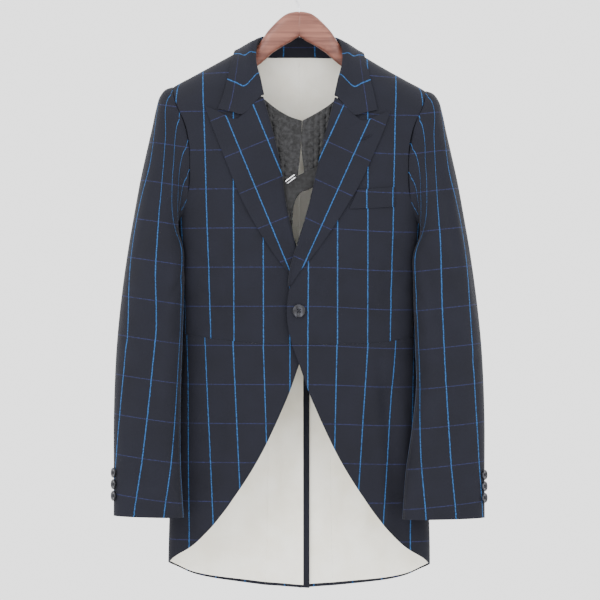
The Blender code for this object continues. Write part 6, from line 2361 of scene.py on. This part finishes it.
@dataclass
class Sleeves:
    """Both sleeves, each in a top and an under piece."""

    finishes: Finishes
    repeat_pixels: float = 39.1
    head_puff: float = 0.9
    allowance: float = 6.0
    allowance_sink: float = 2.3
    puff_reach: float = 9.0
    puff_behind: float = -0.2
    seen_angles: tuple[float, float] = (0.25, 2.7)
    smoothed_rows: int = 9
    under_start: float = 0.35
    finer: int = 3
    anchors: tuple[tuple[str, tuple[Pixel, ...]], ...] = (
        (
            "right",
            (
                Pixel(168.5, 128.0), Pixel(161.0, 205.0), Pixel(157.5, 270.0), Pixel(159.0, 325.0),
                Pixel(154.0, 378.0), Pixel(150.3, 415.0), Pixel(145.3, 458.0), Pixel(136.8, 513.0),
            ),
        ),
        (
            "left",
            (
                Pixel(430.9, 114.0), Pixel(435.0, 182.0), Pixel(438.4, 230.0), Pixel(439.7, 297.0),
                Pixel(443.4, 381.0), Pixel(447.8, 456.0), Pixel(453.0, 511.0),
            ),
        ),
    )
    slants: tuple[tuple[str, Pixel, float], ...] = (
        ("right", Pixel(183.0, 148.0), 0.147),
        ("left", Pixel(413.0, 112.0), -0.11),
    )
    creases: tuple[SleeveCrease, ...] = (
        SleeveCrease("right", 34.0, 206.0, 108.0, 262.0, 9.0, 1.6),
        SleeveCrease("right", 70.0, 330.0, 60.0, 470.0, 13.0, 1.4),
        SleeveCrease("right", 150.0, 470.0, 92.0, 560.0, 11.0, 1.5),
        SleeveCrease("right", 40.0, 560.0, 96.0, 610.0, 12.0, 1.2),
        SleeveCrease("right", 66.0, 640.0, 58.0, 800.0, 13.0, 1.2),
        SleeveCrease("right", 120.0, 760.0, 106.0, 800.0, 12.0, 1.4),
        SleeveCrease("left", 60.0, 210.0, 92.0, 330.0, 9.0, 2.2),
        SleeveCrease("left", 30.0, 320.0, 26.0, 520.0, 13.0, 1.4),
        SleeveCrease("left", 140.0, 500.0, 84.0, 580.0, 11.0, 1.6),
        SleeveCrease("left", 34.0, 590.0, 88.0, 640.0, 12.0, 1.1),
        SleeveCrease("left", 60.0, 660.0, 70.0, 810.0, 13.0, 1.3),
        SleeveCrease("right", -90.0, 300.0, -76.0, 640.0, 15.0, 1.4),
        SleeveCrease("left", -96.0, 280.0, -74.0, 620.0, 15.0, 1.5),
        SleeveCrease("right", 240.0, 500.0, 280.0, 570.0, 12.0, 1.3),
        SleeveCrease("left", 236.0, 520.0, 284.0, 600.0, 12.0, 1.4),
    )

    def fold(self, side: str, angle: Array, drop: Array) -> Array:
        """How deep the drawn folds sink a sleeve: a bell across each, fading at its ends."""
        degrees = np.degrees(angle)
        depth = np.zeros_like(drop)
        for number, crease in enumerate(self.creases):
            if crease.side != side:
                continue
            run = (drop - crease.drop0) / (crease.drop1 - crease.drop0)
            middle = crease.angle0 + (crease.angle1 - crease.angle0) * np.clip(run, -0.2, 1.2)
            middle = middle + 3.0 * np.sin(4.0 * run + number)
            apart = np.mod(degrees - middle + 180.0, 360.0) - 180.0
            depth += crease.depth * np.exp(-((apart / crease.width) ** 2)) * crease_length(run)
        return depth

    def check(self, side: str, points: Array, angle: Array, top: bool) -> Array:
        """Args:
            side: Left or right.
            points: The outer face.
            angle: The angle of each point.
            top: Whether it is the top piece, which carries the anchor line.

        Returns:
            Pattern places in metres.
        """
        steps = np.linalg.norm(np.diff(points, axis=1), axis=-1)
        run = np.concatenate([np.zeros((len(points), 1)), np.cumsum(steps, axis=1)], axis=1)
        x, y = to_photo(side, points[..., 0], -points[..., 2])
        pixels = dict(self.anchors)[side]
        if top:
            wanted = np.interp(y.mean(axis=1), [spot.y for spot in pixels], [spot.x for spot in pixels])
            front = (angle > self.seen_angles[0]) & (angle < self.seen_angles[1])
            outward_x = points[..., 0]
            home = []
            for row in range(len(points)):
                seen = front[row]
                reach = SIDES[side] * (wanted[row] - PHOTO_CENTRE.x) * PHOTO_SCALE
                home.append(np.interp(-reach, -outward_x[row, seen], run[row, seen]))
            start = np.array(home)
            kernel = np.ones(self.smoothed_rows) / self.smoothed_rows
            padded = np.pad(start, self.smoothed_rows // 2, mode="edge")
            start = np.convolve(padded, kernel, mode="valid")[:, None]
        else:
            start = run[:, -1:] * self.under_start
        origin, slant = next((spot, slope) for name, spot, slope in self.slants if name == side)
        cross = (y - slant * (x - origin.x) - origin.y) / self.repeat_pixels
        return np.stack([run - start, cross * CHECK_DOWN], axis=-1) * MM

    def turned_in(self, face: Array, normal: Array) -> Array:
        """Adds the seam allowance that turns in under the body's cloth at the armhole.

        Args:
            face: One face of the sleeve, its first row at the armhole.
            normal: The outward way at each point of that row.

        Returns:
            The face with two more rows.
        """
        toward = unit(face[0] - face[1])
        fold = face[0] - normal * self.allowance_sink
        tip = fold + toward * self.allowance - normal * LAYER_GAP
        return np.concatenate([tip[None], fold[None], face])

    def piece(self, side: str, name: str, angles: Array, edges: str, top: bool) -> None:
        """Makes one piece of a sleeve between two seams.

        Args:
            side: Left or right.
            name: The node that it stands for.
            angles: The angle of each coarse line at each section.
            edges: The edges that are drawn back.
            top: Whether it is the top piece.
        """
        coarse = sleeve_faces(side, angles)
        plan = Weave.over(coarse[0])
        outer, inner = (plan.read(face) for face in coarse)
        angle = plan.read(np.repeat(angles[..., None], 2, axis=-1))[..., 0]
        normal = grid_normals(outer)
        middle = outer.mean(axis=1, keepdims=True)
        normal *= math.copysign(1.0, ((outer - middle) * normal).sum())
        drop = -outer[..., 2]
        sink = self.fold(side, angle, drop) + plan.relief("SE")
        puff = self.head_puff * np.exp(-(((plan.down - self.puff_reach) / self.puff_reach) ** 2))[:, None]
        sink = sink - puff * (np.cos(angle) > self.puff_behind)
        outer = outer - normal * sink[..., None]
        inner = inner - normal * sink[..., None]
        check = self.check(side, outer, angle, top)
        outer, inner = trimmed(outer, inner, edges)
        outer, inner = (self.turned_in(face, normal[0]) for face in (outer, inner))
        check = np.concatenate([check[:1], check[:1], check])
        edge = np.concatenate([plan.edge()[:1], plan.edge()[:1], plan.edge()])
        rests_on = (f"front_{side}", f"back_{side}")
        faces = (outer, inner, check, edge)
        Shell(f"{name}_cloth", side, *faces, "wool_check", name, rests_on).make(self.finishes.wool)

    def build(self) -> None:
        """Makes both pieces of both sleeves."""
        elbow = seam_angles(ELBOW_SEAM)
        forearm = seam_angles(FOREARM_SEAM)
        for side in SIDES:
            spread = np.linspace(0.0, 1.0, self.finer * TOP_SLEEVE_COLUMNS + 1)
            angles = elbow[:, None] + (forearm - elbow)[:, None] * spread
            self.piece(side, f"top_sleeve_{side}", angles, "SEE", True)
            spread = np.linspace(0.0, 1.0, self.finer * UNDER_SLEEVE_COLUMNS + 1)
            angles = forearm[:, None] + (elbow + 2.0 * math.pi - forearm)[:, None] * spread
            self.piece(side, f"under_sleeve_{side}", angles, "SSE", False)


@dataclass
class Harness:
    """The chest harness: two scaled leather halves, a strap and a wire buckle."""

    finishes: Finishes
    scale_width: float = 9.2
    scale_height: float = 11.4
    scale_rise: float = 1.3
    scale_squareness: float = 2.4
    scale_dome: float = 0.55
    scale_sunk: float = 0.7
    plain_rim: tuple[float, float] = (0.55, 0.85)
    rows: int = 8
    columns: int = 5
    step: float = 1.5
    strap_step: float = 3.0

    def scales(self, x: Array, drop: Array) -> Array:
        """Raised ovals in staggered columns: a low dome in each cell, 0 between them."""
        column = np.round(x / self.scale_width)
        shift = 0.5 * np.mod(column, 2.0) + 0.12 * np.sin(2.3 * column)
        row = np.round(drop / self.scale_height - shift) + shift
        across = (x - column * self.scale_width) / (0.49 * self.scale_width)
        down = (drop - row * self.scale_height) / (0.49 * self.scale_height)
        out = np.abs(across) ** self.scale_squareness + np.abs(down) ** self.scale_squareness
        inside = np.clip(1.0 - out, 0.0, 1.0)
        return self.scale_rise * inside**self.scale_dome

    def shell(self, name: str, side: str, faces: list[Array], plan: Weave, finish: Material) -> None:
        """Makes a leather wall."""
        flat = faces[0][..., [0, 2]] * MM
        Shell(f"{name}_leather", side, *faces, flat, plan.edge(), "leather", name).make(finish, False)

    def build(self) -> None:
        """Makes the halves, the strap and the buckle."""
        for side in SIDES:
            start = on_body(along(HARNESS_CENTRE[side], self.rows))
            end = on_body(along(HARNESS_OUTER[side], self.rows))
            top = on_body(along(HARNESS_TOP[side], self.columns))
            share = np.linspace(0.0, 1.0, self.columns + 1)[:, None]
            grid = body_patch(start, end, top, (1.0 - share) * start[-1] + share * end[-1])
            plan = Weave.over(body_base(grid[..., 0], grid[..., 1]), step=self.step)
            fine = plan.read(grid)
            base = body_base(fine[..., 0], fine[..., 1])
            from_edge = ease(1.0 - plan.edge(), *self.plain_rim)
            rise = self.scales(base[..., 0], fine[..., 1]) * from_edge - self.scale_rise * self.scale_sunk
            outer = body(fine[..., 0], fine[..., 1], HARNESS_LIFT + rise)
            inner = body(fine[..., 0], fine[..., 1], HARNESS_LIFT - LEATHER)
            self.shell(f"harness_{side}", side, trimmed(outer, inner), plan, self.finishes.scales)
        spots = as_angles(ruled(along(STRAP_TOP, self.rows), along(STRAP_BOTTOM, self.rows), 2))
        plan = Weave.over(body_base(spots[..., 0], spots[..., 1]), step=self.strap_step)
        fine = plan.read(spots)
        lift = HARNESS_LIFT + LAYER_GAP
        pad = LEATHER - 0.5 * plan.edge()
        faces = [body(fine[..., 0], fine[..., 1], lift + rise) for rise in (pad, 0.0 * pad)]
        self.shell("harness_strap", "left", faces, plan, self.finishes.strap)
        self.buckle()

    def buckle(self) -> None:
        """A wire frame with round corners, which stands up from the strap at a slant."""
        half_length = BUCKLE_LENGTH / 2.0 - BUCKLE_CORNER
        half_width = BUCKLE_WIDTH / 2.0 - BUCKLE_CORNER
        outline = []
        for quarter, (a, b) in enumerate(((1, 1), (-1, 1), (-1, -1), (1, -1))):
            turn = np.linspace(0.0, math.pi / 2.0, 7) + quarter * math.pi / 2.0
            long_way = a * half_length + BUCKLE_CORNER * np.cos(turn)
            wide_way = b * half_width + BUCKLE_CORNER * np.sin(turn)
            outline.append(np.stack([long_way, wide_way], axis=1))
        outline = np.concatenate(outline)
        long_way = np.array([math.cos(BUCKLE_SLANT), 0.0, math.sin(BUCKLE_SLANT)])
        in_face = np.array([-math.sin(BUCKLE_SLANT), 0.0, math.cos(BUCKLE_SLANT)])
        wide_way = in_face * math.cos(BUCKLE_TILT) + np.array([0.0, -1.0, 0.0]) * math.sin(BUCKLE_TILT)
        centre = body(angle_at(BUCKLE_CENTRE.x, BUCKLE_CENTRE.drop), BUCKLE_CENTRE.drop, BUCKLE_LIFT)
        points = centre + outline[:, :1] * long_way + outline[:, 1:] * wide_way
        item = tube("buckle_wire", points, BUCKLE_WIRE / 2.0, 14, self.finishes.steel, cyclic=True)
        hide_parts("harness_buckle")


@dataclass
class Buttons:
    """The front button and three on each cuff: turned, with a raised rim, four holes and thread."""

    finishes: Finishes
    hole_share: float = 0.2
    hole_depth: float = 0.4
    hole_radius: float = 0.95
    thread_radius: float = 0.42
    thread_foot: float = 0.42
    thread_arch: float = 0.34
    thread_step: float = 0.05
    steps: int = 44
    around: int = 72
    profile: tuple[Spot, ...] = (
        Spot(0.0, 0.62), Spot(0.45, 0.62), Spot(0.6, 0.68), Spot(0.74, 0.95), Spot(0.84, 1.0),
        Spot(0.93, 0.95), Spot(1.0, 0.6), Spot(0.97, 0.3), Spot(0.75, 0.0),
    )

    def button(self, node: str, centre: Array, normal: Array, diameter: float, thickness: float) -> None:
        """Turns one button: its profile swept round, with four dips for the holes.

        Args:
            node: The node that it stands for.
            centre: The middle of its back.
            normal: The way it faces.
            diameter: Its width.
            thickness: Its height.
        """
        normal = unit(normal)
        side_way = unit(np.cross(normal, (0.0, 0.0, 1.0)))
        up_way = np.cross(side_way, normal)
        radius = diameter / 2.0
        sweep = along(np.array(self.profile) * (radius, thickness), self.steps)
        turn = np.linspace(0.0, 2.0 * math.pi, self.around + 1)[:-1]
        reach = np.maximum(sweep[:, 0], 0.02)[:, None]
        flat = np.stack([reach * np.cos(turn), reach * np.sin(turn)], axis=-1)
        height = sweep[:, 1:] + 0.0 * flat[..., 0]
        corners = np.array([(1.0, 1.0), (-1.0, 1.0), (-1.0, -1.0), (1.0, -1.0)])
        holes = self.hole_share * radius * corners
        face = (np.arange(len(sweep)) < len(sweep) // 2)[:, None]
        for hole in holes:
            away = np.linalg.norm(flat - hole, axis=-1) / self.hole_radius
            height = height - self.hole_depth * thickness * np.exp(-(away**4)) * face
        points = centre + flat[..., :1] * side_way + flat[..., 1:] * up_way + height[..., None] * normal
        points = settle(points)
        item = lofted(f"{node}_horn", points, self.finishes.horn)
        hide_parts(node)
        for number, (a, b) in enumerate(((0, 2), (1, 3)), start=1):
            share = np.linspace(0.0, 1.0, 9)[:, None]
            run = (1.0 - share) * holes[a] + share * holes[b]
            arch = self.thread_arch * np.sin(np.pi * share[:, 0])
            rise = thickness * (self.thread_foot + arch + self.thread_step * number)
            path = centre + run[:, :1] * side_way + run[:, 1:] * up_way + rise[:, None] * normal
            name = f"{node}_thread_{number}"
            thread = tube(name, settle(path), self.thread_radius, 8, self.finishes.plain_wool)

    def at_drop(self, drop: float, drops: Array, line: Array) -> Array:
        """The point of a line down the sleeve at a drop."""
        return np.array([np.interp(drop, drops, line[:, axis]) for axis in range(3)])

    def build(self) -> None:
        """Makes every button."""
        grid = np.array([angle_at(FRONT_BUTTON.x, FRONT_BUTTON.drop), FRONT_BUTTON.drop])
        foot = cloth("left", grid, np.array(LAYER_GAP))
        ahead = cloth("left", grid, np.array(LAYER_GAP + 1.0))
        self.button("front_button", foot, ahead - foot, FRONT_BUTTON_DIAMETER, FRONT_BUTTON_THICKNESS)
        drops = np.array([row.outer_drop for row in SLEEVE])
        beside = math.radians(3.0)
        angles = np.full((len(SLEEVE), 3), CUFF_BUTTON_ANGLE) + np.array([-beside, 0.0, beside])
        for side, sign in SIDES.items():
            outer, _ = sleeve_faces(side, angles)
            for number, drop in enumerate(CUFF_BUTTON_DROPS, start=1):
                place = np.array([self.at_drop(drop, drops, outer[:, k]) for k in range(3)])
                lower = self.at_drop(drop + 4.0, drops, outer[:, 1])
                normal = np.cross(place[2] - place[0], lower - place[1])
                normal = unit(normal * math.copysign(1.0, normal[0]))
                foot = (place[1] + normal * CUFF_BUTTON_STANDOFF) * (sign, 1.0, 1.0)
                normal = normal * (sign, 1.0, 1.0)
                node = f"cuff_button_{side}_{number}"
                self.button(node, foot, normal, CUFF_BUTTON_DIAMETER, CUFF_BUTTON_THICKNESS)


@dataclass
class Hanger:
    """The wooden hanger in two glued halves, and its wire hook."""

    finishes: Finishes
    step: float = 3.0
    around: int = 48
    groove_width: float = 0.7
    groove_depth: float = 0.5

    def build(self) -> None:
        """Makes the wood, then the hook."""
        arms = [Arm(-arm.x, *arm[1:]) for arm in HANGER[:0:-1]] + list(HANGER)
        turn = np.linspace(0.0, 2.0 * math.pi, self.around + 1)[:-1]
        up, out = rounded_square(turn, HANGER_SQUARENESS)
        rows = np.array(arms)
        run = rows[:, 0] - rows[0, 0]
        middle = -run[0] - rows[0, 0]
        near = np.array([-1.4, -0.7, -0.3, 0.0, 0.3, 0.7, 1.4])
        at = np.unique(np.concatenate([stations(run, self.step, lines=False), middle + near]))
        x, top, bottom, half_thickness, y = smooth(rows, run, at).T[..., None]
        lean = np.sign(x) * HANGER_LEAN * ease(np.abs(x), *HANGER_LEAN_REACH)
        groove = 1.0 - self.groove_depth / half_thickness * np.exp(-((x / self.groove_width) ** 2))
        half = (bottom - top) / 2.0
        rings = np.stack(
            [
                x + lean * up,
                y + out * half_thickness * groove,
                -(top + bottom) / 2.0 + up * half * groove,
            ],
            axis=-1,
        )
        wood = lofted("hanger_wood", rings, self.finishes.wood)
        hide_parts("hanger_body")
        bevel(wood, 1.2)
        wire_radius = HOOK_RADIUS + HOOK_WIRE / 2.0
        sweep = np.linspace(HOOK_START_ANGLE, HOOK_TIP_ANGLE, 26)
        arc = np.stack([np.cos(sweep), 0.0 * sweep, np.sin(sweep)], axis=1) * wire_radius
        arc = arc - (0.0, 0.0, HOOK_RADIUS)
        stem = np.array([[0.0, -HANGER[0].top + SEAM_GAP], [0.0, -HOOK_LEAVES_STEM], HOOK_NECK])
        stem = np.stack([stem[:, 0], 0.0 * stem[:, 0], stem[:, 1]], axis=1)
        hook = tube("hook_wire", along(np.vstack([stem, arc]), 96), HOOK_WIRE / 2.0, 16, self.finishes.steel)
        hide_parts("hanger_hook")


class Softbox(NamedTuple):
    """A square lamp: where it stands, how wide it is and its power."""

    name: str
    x: float
    y: float
    z: float
    size: float
    watts: float


@dataclass
class Studio:
    """A plain pale floor, soft lamps and the camera at the photograph's angle. Metres."""

    distance: float = 4.0
    view_width: float = 0.93
    sensor: float = 36.0
    aim: tuple[float, float, float] = (0.00124, 0.0, -0.513175)
    floor_drop: float = 1.25
    floor_radius: float = 1.3
    sky: float = 2.3
    lamps: tuple[Softbox, ...] = (
        Softbox("Key", -1.5, -2.2, 0.9, 1.6, 40.0),
        Softbox("Fill", 1.7, -2.4, 0.2, 1.6, 20.0),
        Softbox("Back", 0.4, 2.2, 0.8, 1.6, 24.0),
    )

    def floor(self) -> None:
        """A flat disc below the hanging coat."""
        turn = np.linspace(0.0, 2.0 * math.pi, 97)[:-1]
        rim = np.stack([np.cos(turn), np.sin(turn), 0.0 * turn], axis=1) * self.floor_radius
        mesh = bpy.data.meshes.new("floor")
        mesh.from_pydata((rim - (0.0, 0.0, self.floor_drop)).tolist(), [], [list(range(len(rim)))])
        pale = bpy.data.materials.new("Pale floor")
        pale.use_nodes = True
        pale.node_tree.nodes["Principled BSDF"].inputs["Base Color"].default_value = (0.82, 0.82, 0.82, 1.0)
        mesh.materials.append(pale)
        item = bpy.data.objects.new("floor", mesh)
        bpy.context.scene.collection.objects.link(item)

    def light(self) -> None:
        """An even pale surround and three softboxes aimed at the coat."""
        world = bpy.data.worlds.new("Studio")
        world.use_nodes = True
        world.node_tree.nodes["Background"].inputs["Color"].default_value = (1.0, 1.0, 1.0, 1.0)
        world.node_tree.nodes["Background"].inputs["Strength"].default_value = self.sky
        bpy.context.scene.world = world
        aim = Vector(self.aim)
        for lamp in self.lamps:
            data = bpy.data.lights.new(lamp.name, "AREA")
            data.size = lamp.size
            data.energy = lamp.watts
            item = bpy.data.objects.new(lamp.name, data)
            item.location = (lamp.x, lamp.y, lamp.z)
            item.rotation_euler = (aim - item.location).to_track_quat("-Z", "Y").to_euler()
            bpy.context.scene.collection.objects.link(item)

    def camera(self) -> None:
        """A long lens square to the coat's front."""
        data = bpy.data.cameras.new("Camera")
        data.sensor_width = self.sensor
        data.lens = self.sensor * self.distance / self.view_width
        item = bpy.data.objects.new("Camera", data)
        item.location = (self.aim[0], -self.distance, self.aim[2])
        item.rotation_euler = (math.radians(90.0), 0.0, 0.0)
        bpy.context.scene.collection.objects.link(item)
        bpy.context.scene.camera = item

    def build(self) -> None:
        """Sets the stage."""
        self.floor()
        self.light()
        self.camera()


def main() -> None:
    """Builds the studio and every piece of the coat."""
    logging.basicConfig(level=logging.INFO, format="%(name)s %(message)s")
    Studio().build()
    finishes = Finishes.make()
    for assembly in (BodyPanels, Lapels, Collar, Sleeves, Harness, Buttons, Hanger):
        assembly(finishes).build()
        LOG.info("%s done", assembly.__name__)


if __name__ == "__main__":
    main()
